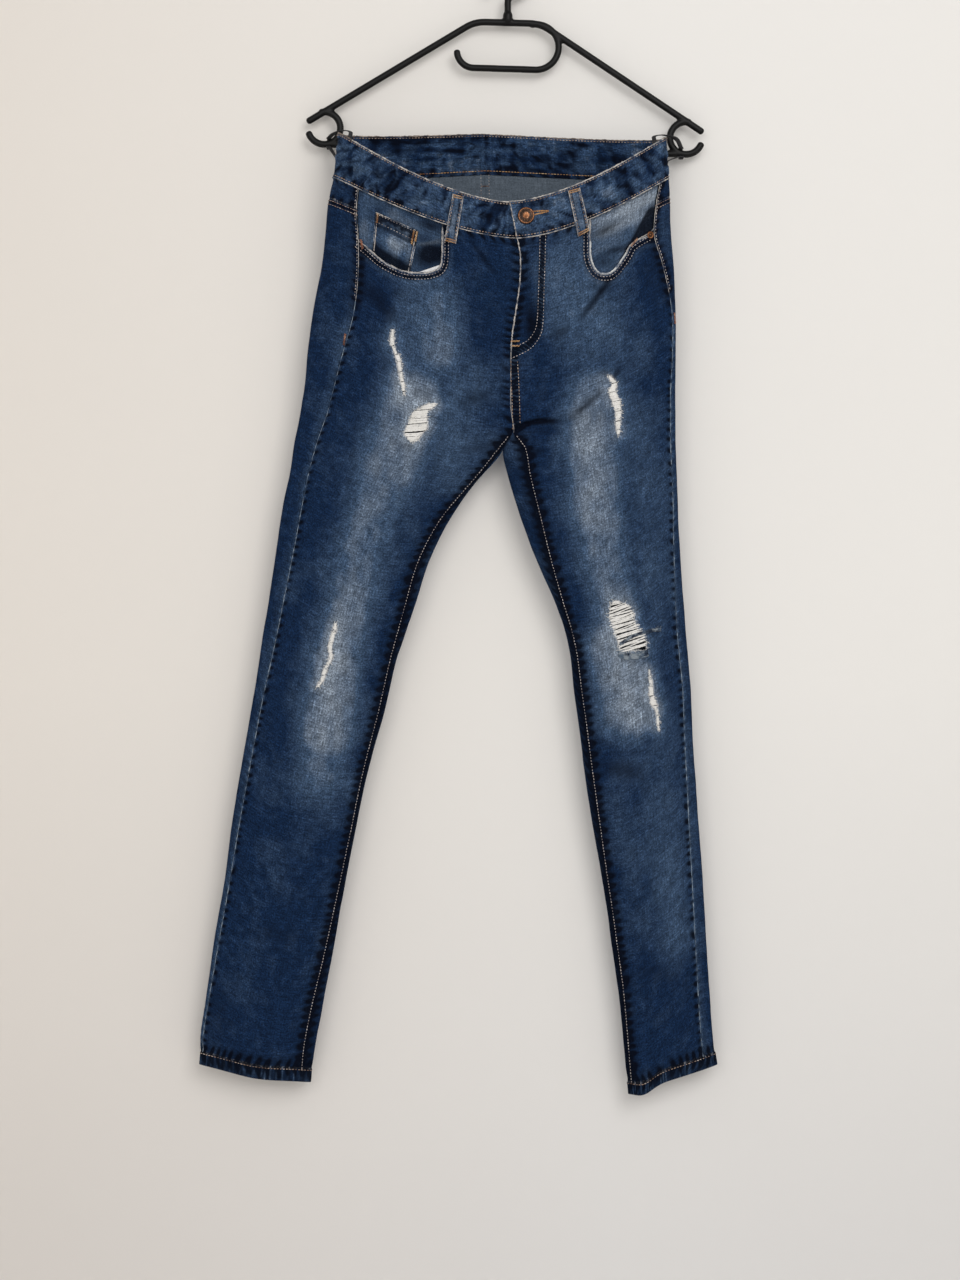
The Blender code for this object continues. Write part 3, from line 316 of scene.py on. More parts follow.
def strokes(rows, x, z):
    """The summed height of soft folds at a place, or for fades the strongest one."""
    total = np.zeros(np.broadcast(x, z).shape)
    for row in rows:
        run_x, run_z = row.to_x - row.from_x, row.to_z - row.from_z
        length = math.hypot(run_x, run_z)
        along = ((x - row.from_x) * run_x + (z - row.from_z) * run_z) / length**2
        across = ((x - row.from_x) * run_z - (z - row.from_z) * run_x) / length
        if isinstance(row, Fade):
            beyond = np.maximum(np.abs(along - 0.5) - 0.5, 0) * length
            total = np.maximum(total, row.amount * bell(np.hypot(across, beyond), row.reach, 2.5))
        else:
            total += row.height * np.clip(1 - (2 * along - 1) ** 2, 0, 1) * bell(across, row.reach)
    return total


def roping(along, away, pitch, reach, seed):
    """The puckers beside a seam, 0 to 1, from the way along it and the distance from it."""
    wander = 0.9 * noise(along / (3.1 * pitch), 0.5, seed)
    wave = 0.5 - 0.5 * np.cos(2 * np.pi * (along / pitch + wander + 0.22 * away / reach))
    strength = 0.66 + 0.34 * noise(along / (2.3 * pitch), 7.5, seed + 1)
    return wave**2 * strength * bell(away - 0.4 * reach, reach)


# ================================================================ the cloth's surface
Station = namedtuple(
    "Station", "outer_x outer_z front_x front_z back_x back_z depth back_y open sag"
    " side_share inseam_share rounding")


def all_rows(side):
    """A side's trunk and leg rows under the same columns."""
    made = [
        (edge.outer_x, edge.outer_z, *centre, edge.side_share, 1.0, TRUNK_ROUND)
        for centre, edge in zip(CENTRE, TRUNK[side])
    ]
    made += [
        (row.outer_x, row.outer_z, *(row.inner_x, row.inner_z) * 2, row.depth, LEG_BACK_Y, 0.0, 0.0,
         row.side_share, row.inseam_share, LEG_ROUND)
        for row in LEG[side]
    ]
    return np.array(made, float)


ROWS = {side: all_rows(side) for side in SIDES}
DOWN = -(ROWS["right"][:, 1] + ROWS["left"][:, 1]) / 2
ROW_STEP = 2.0
WRAP, FRONT, BACK = 5, 80, 82
COLUMNS = WRAP + FRONT + BACK
SIDE_COLUMN = WRAP + FRONT
RING_POINTS = 200
END_CROWDING = 0.4  # how much closer the columns lie beside the seams


def fine_row_numbers():
    numbers = [0.008, 0.02, 0.04]
    for row in range(len(DOWN) - 1):
        count = math.ceil((DOWN[row + 1] - DOWN[row]) / ROW_STEP)
        numbers += [row + k / count for k in range(count)]
    numbers += [len(DOWN) - 1, len(DOWN) - 1.02, len(DOWN) - 1.05]
    return np.array(sorted(numbers))


NUMBERS = fine_row_numbers()
SHAPE = (len(NUMBERS), COLUMNS + 1)


def level(row):
    return int(np.searchsorted(NUMBERS, row - 1e-6))


WAIST, YOKE, MEET, HEM = (level(row) for row in (WAIST_ROW, YOKE_ROW, MEET_ROW, HEM_ROW))


def stations(side):
    """Every fine row's values as columns, a smooth cubic between the table's rows."""
    rows = ROWS[side]
    slopes = np.gradient(rows, DOWN, axis=0)
    low = np.minimum(NUMBERS.astype(int), len(rows) - 2)
    part = (NUMBERS - low)[:, None]
    length = (DOWN[low + 1] - DOWN[low])[:, None]
    square, cube = part**2, part**3
    values = (2 * cube - 3 * square + 1) * rows[low] + (3 * square - 2 * cube) * rows[low + 1]
    values += (cube - 2 * square + part) * length * slopes[low] + (cube - square) * length * slopes[low + 1]
    straight = (NUMBERS > MEET_ROW) & (NUMBERS < MEET_ROW + 1)
    values[straight] = (rows[low] * (1 - part) + rows[low + 1] * part)[straight]
    made = Station(*values.T[..., None])
    return made._replace(
        open=np.clip(made.open, 0, 1), sag=np.clip(made.sag, 0, 1), inseam_share=np.minimum(made.inseam_share, 1))


def crowded(count):
    t = np.linspace(0, 1, count + 1)
    return t - END_CROWDING / (2 * np.pi) * np.sin(2 * np.pi * t)


def spaced_rows(side):
    """Every row's column points, from inside the inseam round the front and then the back."""
    at = stations(side)
    share = (1 - np.cos(np.pi * np.linspace(0, 1, RING_POINTS)))[None] / 2
    outside = np.clip(1 - share / at.rounding, 0, 1)
    inside = np.clip((share - (1 - LEG_ROUND)) / LEG_ROUND, 0, 1)
    swell = (1 - outside**ROUND_POWER) ** (1 / ROUND_POWER)
    swell = swell * (1 - (1 - at.open) * inside**ROUND_POWER) ** (1 / ROUND_POWER)
    middle_y = at.back_y - at.depth / 2
    near_hem = np.clip((NUMBERS[:, None] - (HEM_ROW - 1)), 0, 1) ** 1.5
    droop_x, most, wide = HEM_DROOP[side]
    sagging = share + at.sag * ((1 - (1 - share) ** SAG_POWER) - share)
    halves = []
    for face, ahead, inner_x, inner_z, droop in (
        ("front", -1, at.front_x, at.front_z, sagging), ("back", 1, at.back_x, at.back_z, share),
    ):
        x = at.outer_x + (inner_x - at.outer_x) * share
        z = at.outer_z + (inner_z - at.outer_z) * droop
        z = z - near_hem * most * bell(x - droop_x, wide)
        y = middle_y + ahead * swell * (at.depth / 2 + strokes(FOLDS[face], x, z))
        halves.append(np.stack([x, y, z], axis=2))
    ring = np.concatenate([halves[0][:, ::-1], halves[1][:, 1:]], axis=1)
    grid = np.empty((*SHAPE, 3))
    for row, points in enumerate(ring):
        steps = np.diff(points, axis=0)
        lengths = np.linalg.norm(steps, axis=1)
        directions = steps / np.maximum(lengths, 1e-9)[:, None]
        turns = np.zeros(len(points))
        turns[1:-1] = np.arccos(np.clip((directions[1:] * directions[:-1]).sum(axis=1), -1, 1))
        reach = np.pad(np.cumsum(lengths + TURN_WEIGHT * (turns[1:] + turns[:-1]) / 2), (1, 0))
        seams = [at.inseam_share[row, 0], at.side_share[row, 0]]
        inseam, side_seam = np.interp(seams, share[0], reach[:RING_POINTS][::-1])
        if NUMBERS[row] <= MEET_ROW:
            inseam = 0.0
        stops = np.concatenate([
            np.linspace(0, inseam, WRAP + 1)[:-1],
            (inseam + (side_seam - inseam) * crowded(FRONT))[:-1],
            side_seam + (reach[-1] - side_seam) * crowded(BACK),
        ])
        grid[row] = np.stack([np.interp(stops, reach, values) for values in points.T], axis=1)
    return grid


def two_triangles(numbers):
    """The triangles of a grid of point numbers."""
    a, b, c, d = (k.ravel() for k in (numbers[:-1, :-1], numbers[:-1, 1:], numbers[1:, 1:], numbers[1:, :-1]))
    return np.concatenate([np.stack([a, b, c], 1), np.stack([a, c, d], 1)])


def facing_out(faces, points, normals):
    """The same triangles, all turned over if they face against the normals."""
    a, b, c = (points[faces[:, k]] for k in range(3))
    turned_in = (np.cross(b - a, c - a) * normals[faces[:, 0]]).sum() < 0
    return faces[:, ::-1] if turned_in else faces


class Cloth:
    """The whole outer surface: base points and normals, with the fine relief and colour fields."""

    # fade and wear are the dye and its wear; shade is painted shade in creases, puckers, folds and hollows, with some
    # unfaded dye beside the seams.
    COLORS = ("fade", "wear", "shade")

    def __init__(self):
        self.grid = {side: spaced_rows(side) for side in SIDES}
        stacked = np.concatenate([self.grid[side].reshape(-1, 3) for side in SIDES])
        _, first, index = np.unique(np.round(stacked, 3), axis=0, return_index=True, return_inverse=True)
        self.points = stacked[first]
        self.index = dict(zip(SIDES, index.reshape(2, *SHAPE)))
        self.across, self.down = {}, {}
        for side, grid in self.grid.items():
            steps = np.linalg.norm(np.diff(grid, axis=1), axis=2)
            self.across[side] = np.pad(np.cumsum(steps, axis=1), ((0, 0), (1, 0)))
            steps = np.linalg.norm(np.diff(grid, axis=0), axis=2)
            self.down[side] = np.pad(np.cumsum(steps, axis=0), ((1, 0), (0, 0)))
        self.every = np.concatenate([self.cells(side, 0, len(NUMBERS) - 1, 0, COLUMNS)[0] for side in SIDES])
        a, b, c = (self.points[self.every[:, k]] for k in range(3))
        total = np.zeros_like(self.points)
        for k in range(3):
            np.add.at(total, self.every[:, k], np.cross(b - a, c - a))
        self.normals = unit(total)
        self.fields = self.make_fields()
        self.place = self.points + self.normals * self.fields["relief"][:, None]
        self.tree = BVHTree.FromPolygons(self.place.tolist(), self.every.tolist())

    def cells(self, side, top, foot, first, last):
        """Triangles as merged points, outside face out, and the same as flat grid numbers."""
        numbers = np.arange(SHAPE[0] * SHAPE[1]).reshape(SHAPE)
        flat = two_triangles(numbers[top : foot + 1, first : last + 1])
        if side == "left":
            flat = flat[:, ::-1]
        merged = self.index[side].ravel()[flat]
        whole = (merged != np.roll(merged, 1, axis=1)).all(axis=1)
        return merged[whole], flat[whole]

    def make_fields(self):
        """The relief in millimetres and the colour masks, the same at points that are shared."""
        count = np.zeros(len(self.points))
        total = {name: np.zeros(len(self.points)) for name in ("relief", *self.COLORS)}
        for side in SIDES:
            made = grid_fields(side, self.grid[side], self.across[side], self.down[side])
            ids = self.index[side].ravel()
            for name, values in total.items():
                np.add.at(values, ids, made[name].ravel())
            np.add.at(count, ids, 1)
        return {name: value / count for name, value in total.items()}

    def spot(self, side, row, column):
        """The outer place and normal at a fractional row level and column."""
        i, j = min(int(row), len(NUMBERS) - 2), min(int(column), COLUMNS - 1)
        a, b = row - i, column - j
        ids = self.index[side][i : i + 2, j : j + 2].ravel()
        weights = np.array([(1 - a) * (1 - b), (1 - a) * b, a * (1 - b), a * b])
        return weights @ self.place[ids], unit(weights @ self.normals[ids])

    def at(self, x, z, face="front"):
        """The outer place and normal straight behind x, z, seen from the front or the back."""
        ahead = -1 if face == "front" else 1
        hit, _, number, _ = self.tree.ray_cast(Vector((x, ahead * 300, z)), Vector((0, -ahead, 0)))
        if hit is None:
            raise ValueError(f"no cloth at {x}, {z} on the {face}")
        return np.array(hit), unit(self.normals[self.every[number]].sum(axis=0))


def grid_fields(side, grid, across, down):
    """The relief, the dye and its wear, and the painted shade of one half, on its grid."""
    x, z = grid[..., 0], grid[..., 2]
    rows = NUMBERS[:, None] * np.ones_like(x)
    columns = np.arange(COLUMNS + 1)[None] * np.ones_like(x)
    front = (columns >= WRAP) & (columns <= SIDE_COLUMN)
    back = columns >= SIDE_COLUMN
    leg = np.clip((rows - MEET_ROW) / 0.6, 0, 1)
    low = np.clip((rows - SIDE_SEAM_ROW) / 0.6, 0, 1)
    trunk = (rows > WAIST_ROW) & (rows < HEM_ROW)
    centre = (1 - leg) * trunk
    band, hem = rows <= WAIST_ROW, rows >= HEM_ROW - 1e-6
    fly_side = side == "left"
    from_inseam, from_side = (np.abs(across - across[:, k : k + 1]) for k in (WRAP, SIDE_COLUMN))
    from_back = np.abs(across[:, -1:] - across)
    from_waist, from_yoke, from_hem = (np.abs(down - down[k][None]) for k in (WAIST, YOKE, HEM))
    from_foot = down[-1:] - down
    seed = 10 if side == "right" else 40

    def soft(*lines):
        """The sum of soft lines: each has a distance, where it is strongest, its width and amount."""
        return sum(bell(away - at, width) * amount for away, at, width, amount in lines)

    creases = strokes(CREASES["front"], x, z)
    relief = np.where(front, creases, strokes(CREASES["back"], x, z))
    plain = np.clip(from_waist / 12, 0, 1) * np.clip(from_hem / 12, 0, 1) * trunk
    relief += plain * (
        0.45 * noise(x / 41, z / 63, 1) + 0.3 * noise(x / 19, z / 27, 2) + 0.14 * noise(x / 8.5, z / 11, 3))
    # Painted shade in the creases' troughs.
    shade = np.clip(-(creases + 0.12) * front / 1.7, 0, 0.75)

    # Seams: a dip at the join, a soft ridge beside it, and puckers across it, their troughs darkened: partly unworn
    # dye, partly painted shade.
    inseam_dark = np.where(columns < WRAP, 0.9, 1.9)
    ropes = (  # along, away, pitch, reach, seed, where, how deep, how dark
        (down, from_inseam, 10, 6.4, seed, leg * trunk, 0.8, inseam_dark),
        (down, from_inseam, 4.9, 3.8, seed + 31, 0.45 * leg * trunk, 0.8, inseam_dark),
        (down, from_side, 10, 3.4, seed + 2, low * trunk, 0.6, np.where(front, 1.5, 0.5)),
        (down, from_side, 9, 4.6, seed + 4, (1 - low) * trunk, 0.5, 1.1),
        (down, from_inseam, 8.5, 6.5, 70, centre * front, 0.8, 1.3),
        (down, from_back, 10, 4.5, 74, centre * back, 0.6, 0.9),
        (across, from_waist, 13, 4.5, seed + 6, rows >= WAIST_ROW, 0.4, 1.3),
        (across, from_yoke, 11, 4, seed + 12, back * (rows > WAIST_ROW), 0.4, 0.9),
        (across, from_hem, 9, 6, seed + 14, rows <= HEM_FOOT_ROW, 0.7, 1.5),
    )
    dark = np.zeros_like(x)
    for along, away, pitch, reach, number, where, deep, darkened in ropes:
        rope = roping(along, away, pitch, reach, number) * where
        relief -= 1.25 * deep * rope
        dark += darkened * rope
    shade += np.clip(dark, 0, 0.95)
    # Dark bands beside the seams, over the yoke's fold and above the hem: partly unfaded dye, partly painted shade.
    shade += trunk * soft(
        (from_inseam, 0.6, 1.3, 0.8 * leg * (columns < WRAP + 1)),
        (from_inseam, 4, 5, 0.34 * leg),
        (from_side, 3, 5, 0.3 * (1 - low)),
        (from_yoke, 4.2, 1.8, 0.6 * back * (rows > YOKE_ROW)),
        (from_yoke, -0.5, 3, 0.75 * bell(from_side, 26) * back * (rows < YOKE_ROW)),
        (from_hem, 5, 5, 0.45 * (0.6 + 0.4 * noise(across / 9, 0.5, seed + 22))),
    )
    joins = soft(
        (from_inseam, 0, 1.3, leg), (from_side, 0, 1.3, 1), (from_back, 0, 1.3, centre * back),
        (from_yoke, 0, 1.3, back))
    relief -= 0.45 * np.clip(joins * trunk, 0, 1)
    relief += trunk * soft((from_side, 3.6, 2, 0.4 * back), (from_inseam, 3.2, 2, 0.3 * leg * (columns >= WRAP)))

    # The waistband: crinkles that lean across it in front and lie along it behind, with painted highlights on their
    # ridges (lit and the high crinkles, added to the fade) and painted shade in their hollows.
    behind = columns > SIDE_COLUMN + 3
    lean = x + (z + 250) * 0.75 * np.where(x < 0, -1, 1) + 7 * noise(x / 24, z / 17, seed + 20)
    crinkle = np.where(
        behind,
        0.55 * noise(x / 27, (z + 4 * noise(x / 40, 0.5, 23)) / 4.6, seed + 23)
        + 0.38 * noise(x / 6, z / 22, seed + 24),
        0.5 * noise(lean / 8, z / 12, seed + 16) + 0.42 * noise(lean / 17, z / 19, seed + 17))
    wrinkle = np.where(
        behind,
        noise(x / 24, z / 6.5, seed + 28) + 0.3 * noise(x / 7, z / 14, seed + 29),
        noise(lean / 11, z / 15, seed + 28) + 0.35 * noise(lean / 5, z / 8, seed + 29))
    fine = noise(lean / 3.4, z / 6, seed + 19)
    lit, folded = bell(wrinkle, 0.11), bell(wrinkle - 0.26, 0.13)
    band_rope = roping(across, from_waist, 11, 5, seed + 8) * (rows < WAIST_ROW) * band
    relief += band * (1.1 * crinkle + 0.3 * fine + 0.35 * lit - 0.5 * folded) - 0.8 * band_rope
    shade += band * np.clip(-crinkle * 0.9 - fine * 0.3 - 0.04 + 0.5 * folded, 0, 0.85) + band_rope

    # The hem folds: ribs across them, rubbed paler, with painted shade in the hollows between.
    phase = across / 11.4 + 0.8 * noise(across / 21, 0.5, seed + 21)
    phase += down / 70 * noise(across / 17, 3.5, seed + 26)
    rib = bell(phase % 1 - 0.5, 0.10) * (0.62 + 0.38 * noise(across / 10, 6.5, seed + 27))
    relief += hem * 0.5 * rib
    shade += hem * 0.58 * (1 - rib) * (0.75 + 0.45 * noise(across / 6, down / 5, seed + 25))

    # The fly: painted shade in flecked puckers between its two rows, in rungs below it and in a hollow beside it, with
    # pale ticks among them.
    pale = np.zeros_like(x)
    near_fly = front & (x > -12) & (x < 60) & (z > -440) & (z < -285) & fly_side
    fly_x, fly_z = x[near_fly], z[near_fly]
    fly_middle = (np.array(FLY_INNER) + np.array(FLY_OUTER)) / 2
    between = bell(distance_to(np.stack([fly_x, fly_z], axis=1), fly_middle, closed=False), 3.9, 4)
    ticks = flecks(fly_x / 2.7, fly_z / 2.7, 91)
    slants = 0.5 + 0.5 * np.cos(2 * np.pi * (fly_z / 3.9 + fly_x / 7) + 2.5 * noise(fly_x / 4, fly_z / 8, 96))
    shade[near_fly] += between * (0.22 + 0.42 * ticks + 0.42 * slants)
    pale[near_fly] += between * (1 - slants) ** 3 * 0.3
    relief[near_fly] -= between * 0.35 * ticks
    rungs = 0.5 + 0.5 * np.cos(2 * np.pi * z / 4.6 + 2 * noise(x / 3, z / 9, 94))
    ladder = bell(x - 6.8 + (z + 424) * 0.03, 4.2, 4) * front * (z < -419) * (z > -490)
    shade += ladder * (0.22 + 0.70 * rungs) + 0.3 * bell(x - 24, 7) * bell(z + 384, 20) * front * fly_side
    pale += ladder * (1 - rungs) ** 3 * 0.3
    beside_fly = bell(from_inseam - 4, 3.2) * centre * front * fly_side * (z > -418)
    shade += beside_fly * np.clip(1.9 * flecks(from_inseam / 7, z / 4.2, 95) - 0.75, 0, 0.8)

    # The dye: washed strokes broken up by noise, what the patches add or take, and the patches' painted shade.
    fade = np.where(front, strokes(FADES["front"], x, z), strokes(FADES["back"], x, z))
    fade *= 0.88 + 0.24 * noise(x / 30, z / 70, 81) + 0.16 * noise(x / 8, z / 15, 83)
    fade = np.where(rows < HEM_ROW, fade + 0.06 * noise(x / 16, z / 30, 82), 0.05) + pale
    fade += band * (0.14 + 0.34 * crinkle + 0.1 * fine + 0.16 * lit) + hem * 0.36 * rib
    uneven = 0.75 + 0.35 * noise(x / 5, z / 5, 93)
    for patch in PATCHES:
        there = front * bell(x - patch.x, patch.half_x) * bell(z - patch.z, patch.half_z)
        fade += patch.fade * there
        shade += patch.shade * there * uneven
    fade += soft(
        (z, -262, 22, front * ~band * (0.20 if fly_side else 0.16)),
        (from_side, 0, 9, 0.12 * low * (columns > SIDE_COLUMN) * trunk),
        (from_side, 0.9, 1.1, 0.16 * low * trunk),
    )
    spots = flecks(down / 5.5, across / 9, seed + 18)
    wear = soft(
        (from_side, 0.9, 0.9, low * trunk * (0.04 + 0.14 * spots)),
        (from_side, 0.6, 0.8, (1 - low) * trunk * 0.2),
        (from_inseam, 0, 1.2, leg * trunk * spots * 0.35),
        (from_inseam, 0, 1.6, centre * front * fly_side * 0.6),
        (from_waist, 0, 1.1, 0.45 * np.where(rows < WAIST_ROW, 1.0, 0.5)),
        (from_yoke, 0, 1.4, back * 0.5 * (rows > WAIST_ROW)),
        (down, 0, 1.0, np.where(back, 0.25, 0.8)),
        (from_hem, 0, 1.2, 0.5),
        (from_foot, 0, 1.2, 0.35 * spots),
    ) + hem * rib * 0.24
    return {"relief": relief, "fade": np.clip(fade, 0, 1.2), "wear": np.clip(wear, 0, 1),
            "shade": np.clip(shade, 0, 1)}


# ================================================================ meshes
SHARP = math.radians(48)
RAGGED = 0.45


@cache
def cloth():
    """The one cloth surface, made when it is first asked for."""
    return Cloth()


def link(name, data):
    """A new object in the scene."""
    obj = bpy.data.objects.new(name, data)
    bpy.context.scene.collection.objects.link(obj)
    return obj


def mesh_object(name, points, faces, materials, face_materials=None, uv=None, fields=None):
    """A smooth mesh object from points in millimetres."""
    faces = np.asarray(faces, np.int32)
    mesh = bpy.data.meshes.new(name)
    mesh.vertices.add(len(points))
    mesh.vertices.foreach_set("co", (np.asarray(points) * MM).astype(np.float32).ravel())
    mesh.loops.add(faces.size)
    mesh.loops.foreach_set("vertex_index", faces.ravel())
    mesh.polygons.add(len(faces))
    mesh.polygons.foreach_set("loop_start", np.arange(0, faces.size, faces.shape[1], dtype=np.int32))
    for material in materials:
        mesh.materials.append(material)
    if face_materials is not None:
        mesh.polygons.foreach_set("material_index", np.asarray(face_materials, np.int32))
    mesh.update(calc_edges=True)
    if uv is not None:
        layer = mesh.uv_layers.new(name="cloth")
        layer.data.foreach_set("uv", (np.asarray(uv) * MM).astype(np.float32).ravel())
    for key, values in (fields or {}).items():
        layer = mesh.attributes.new(key, "FLOAT", "POINT")
        layer.data.foreach_set("value", np.asarray(values, np.float32))
    mesh.shade_smooth()
    mesh.set_sharp_from_angle(angle=SHARP)
    return link(name, mesh)


def shell(name, base, normals, faces, flat, uv_points, high, low, materials, fields):
    """A closed cloth wall over merged triangles, its outline drawn back by half the seam gap."""
    ends = np.concatenate([faces[:, [0, 1]], faces[:, [1, 2]], faces[:, [2, 0]]])
    most = ends.max() + 1
    rim = ends[~np.isin(ends[:, 0] * most + ends[:, 1], ends[:, 1] * most + ends[:, 0])]
    start, end = rim.T
    across = unit(np.cross(normals[start] + normals[end], base[end] - base[start]))
    inward = np.zeros_like(base)
    np.add.at(inward, start, across)
    np.add.at(inward, end, across)
    drawn = np.linalg.norm(inward, axis=1) > 0.1
    base = base + unit(inward) * drawn[:, None] * SEAM_GAP / 2
    used, local = np.unique(faces, return_inverse=True)
    local, count = local.reshape(-1, 3), len(used)
    number = np.zeros(len(base), int)
    number[used] = np.arange(count)
    points = np.concatenate([
        base[used] + normals[used] * np.broadcast_to(height, len(base))[used, None] for height in (high, low)])
    a, b = number[start], number[end]
    sides = np.concatenate([np.stack([b, a, a + count], 1), np.stack([b, a + count, b + count], 1)])
    every = np.concatenate([local, local[:, ::-1] + count, sides])
    kinds = np.repeat([0, 1, 0], [len(local), len(local), len(sides)])
    rim_uv = np.zeros((len(base), 2))
    rim_uv[faces.ravel()] = uv_points[flat.ravel()]
    uv = np.concatenate([uv_points[flat], uv_points[flat[:, ::-1]], rim_uv[used][sides % count]])
    doubled = {key: np.tile(values[used], 2) for key, values in fields.items()}
    return mesh_object(name, points, every, materials, kinds, uv.reshape(-1, 2), doubled)


def apply_modifiers(obj):
    """Keeps what the modifiers make as the object's own mesh, and takes them off."""
    graph = bpy.context.evaluated_depsgraph_get()
    mesh = bpy.data.meshes.new_from_object(obj.evaluated_get(graph), depsgraph=graph)
    obj.modifiers.clear()
    obj.data = mesh


def read(items, key, width=1):
    """One property of every item, as an array."""
    values = np.empty(len(items) * width, np.float32)
    items.foreach_get(key, values)
    return values


def read_points(mesh):
    return read(mesh.vertices, "co", 3).reshape(-1, 3).astype(float) / MM


def smooth_path(points, per, closed=False):
    """A Catmull-Rom curve through the points, with so many steps between each two."""
    points = np.asarray(points, float)
    if closed:
        padded = np.concatenate([points[-1:], points, points[:2]])
    else:
        padded = np.concatenate([2 * points[:1] - points[1:2], points, 2 * points[-1:] - points[-2:-1]])
    a, b, c, d = (padded[k : len(padded) - 3 + k, None] for k in range(4))
    t = (np.arange(per) / per)[:, None]
    made = 0.5 * (2 * b + (c - a) * t + (2 * a - 5 * b + 4 * c - d) * t**2 + (3 * b - a - 3 * c + d) * t**3)
    made = made.reshape(-1, points.shape[1])
    return made if closed else np.concatenate([made, padded[-2:-1]])


def reach_along(points):
    """How far along a polyline each of its points lies."""
    return np.pad(np.cumsum(np.linalg.norm(np.diff(points, axis=0), axis=1)), (1, 0))


def evenly(points, step):
    """The same polyline with points a fixed step apart."""
    reach = reach_along(points)
    stops = np.linspace(0, reach[-1], max(2, int(round(reach[-1] / step)) + 1))
    return np.stack([np.interp(stops, reach, values) for values in points.T], axis=1)


def outline_of(rows, seed=None):
    """A closed outline in x, z round a list of slots: smooth, or ragged if it has a seed."""
    outline = np.array([(row.left, row.z) for row in rows] + [(row.right, row.z) for row in rows[::-1]], float)
    if seed is None:
        return smooth_path(outline, 4, closed=True)
    loop = evenly(np.concatenate([smooth_path(outline, 3, closed=True), outline[:1]]), 1.3)[:-1]
    return loop + np.random.default_rng(seed).uniform(-RAGGED, RAGGED, loop.shape)


def rip_outline(rip):
    return outline_of(rip.rows, 200 + RIPS.index(rip))


def prism(outline, near=-95.0, far=-24.0):
    """A closed block with this outline, right through the front cloth."""
    count = len(outline)
    points = np.array([(x, y, z) for y in (near, far) for x, z in outline]) * MM
    faces = [list(range(count)), list(range(2 * count - 1, count - 1, -1))]
    faces += [[k, k + count, (k + 1) % count + count, (k + 1) % count] for k in range(count)]
    mesh = bpy.data.meshes.new("cutter")
    mesh.from_pydata(points.tolist(), [], faces)
    work = bmesh.new()
    work.from_mesh(mesh)
    bmesh.ops.triangulate(work, faces=[face for face in work.faces if len(face.verts) > 4])
    bmesh.ops.recalc_face_normals(work, faces=work.faces)
    work.to_mesh(mesh)
    work.free()
    return bpy.data.objects.new("cutter", mesh)


def distance_to(points, outline, closed=True):
    """The distance from points to a polyline, in x, z."""
    starts = outline if closed else outline[:-1]
    ends = np.roll(outline, -1, axis=0) if closed else outline[1:]
    best = np.full(len(points), 1e9)
    for a, b in zip(starts, ends):
        run = b - a
        t = np.clip(((points - a) @ run) / max(run @ run, 1e-9), 0, 1)
        best = np.minimum(best, np.linalg.norm(points - a - t[:, None] * run, axis=1))
    return best


def cut_panel(obj, side):
    """Cuts the pocket opening and the rips out of a front panel, whitens the cloth round them, and paints shade in the
    puckers beside the opening's edge.
    """
    before = read_points(obj.data)
    fields = {key: read(obj.data.attributes[key].data, "value") for key in Cloth.COLORS}
    scoop = outline_of(POCKET_SCOOPS[side])
    rips = [rip_outline(rip) for rip in RIPS if rip.side == side]
    cutter = joined("cutters", [prism(outline) for outline in (scoop, *rips)])
    cutter.data.materials.append(denim_out())
    cut = obj.modifiers.new("openings", "BOOLEAN")
    cut.operation, cut.object, cut.solver = "DIFFERENCE", cutter, "MANIFOLD"
    apply_modifiers(obj)
    bpy.data.objects.remove(cutter, do_unlink=True)
    points = read_points(obj.data)
    tree = KDTree(len(before))
    for number, point in enumerate(before):
        tree.insert(point, number)
    tree.balance()
    nearest = np.array([tree.find(point)[1] for point in points])
    fields = {key: values[nearest] for key, values in fields.items()}
    flat = points[:, [0, 2]]
    x, z = flat.T
    away = distance_to(flat, scoop)
    fields["wear"] += bell(away, 1.5)
    # Painted shade in the puckers between the opening's stitch rows.
    fields["shade"] += bell(away - 5, 2.6) * (0.38 + 0.75 * flecks(x / 2.6, z / 2.6, 91))
    fields["fade"] += bell(away - 9.5, 2.4) * 0.12
    for outline in rips:
        away = distance_to(flat, outline)
        fields["wear"] += bell(away, 1.5) * (0.35 + 0.75 * flecks(x / 1.7, z / 3.2, 92))
        fields["fade"] += bell(away, 7) * 0.28
    for key, values in fields.items():
        layer = obj.data.attributes.get(key) or obj.data.attributes.new(key, "FLOAT", "POINT")
        layer.data.foreach_set("value", np.clip(values, 0, 1.2).astype(np.float32))
    obj.data.set_sharp_from_angle(angle=SHARP)


def finished(obj, slot, *nodes):
    """Parents a finished piece to the body and hides the model's parts that it stands for."""
    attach(obj, BODY)
    if nodes:
        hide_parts(*nodes)


def sheet(obj, node, slot):
    """Parents a finished cloth piece to the body and hides the model's part that it stands for."""
    finished(obj, slot, node)


def one_finish(obj, material):
    obj.data.materials.clear()
    obj.data.materials.append(material)
    obj.data.polygons.foreach_set("material_index", np.zeros(len(obj.data.polygons), np.int32))


def joined(name, objects):
    """One mesh object from several, which are removed."""
    work = bmesh.new()
    for obj in objects:
        work.from_mesh(obj.data)
        bpy.data.objects.remove(obj, do_unlink=True)
    mesh = bpy.data.meshes.new(name)
    work.to_mesh(mesh)
    work.free()
    return link(name, mesh)


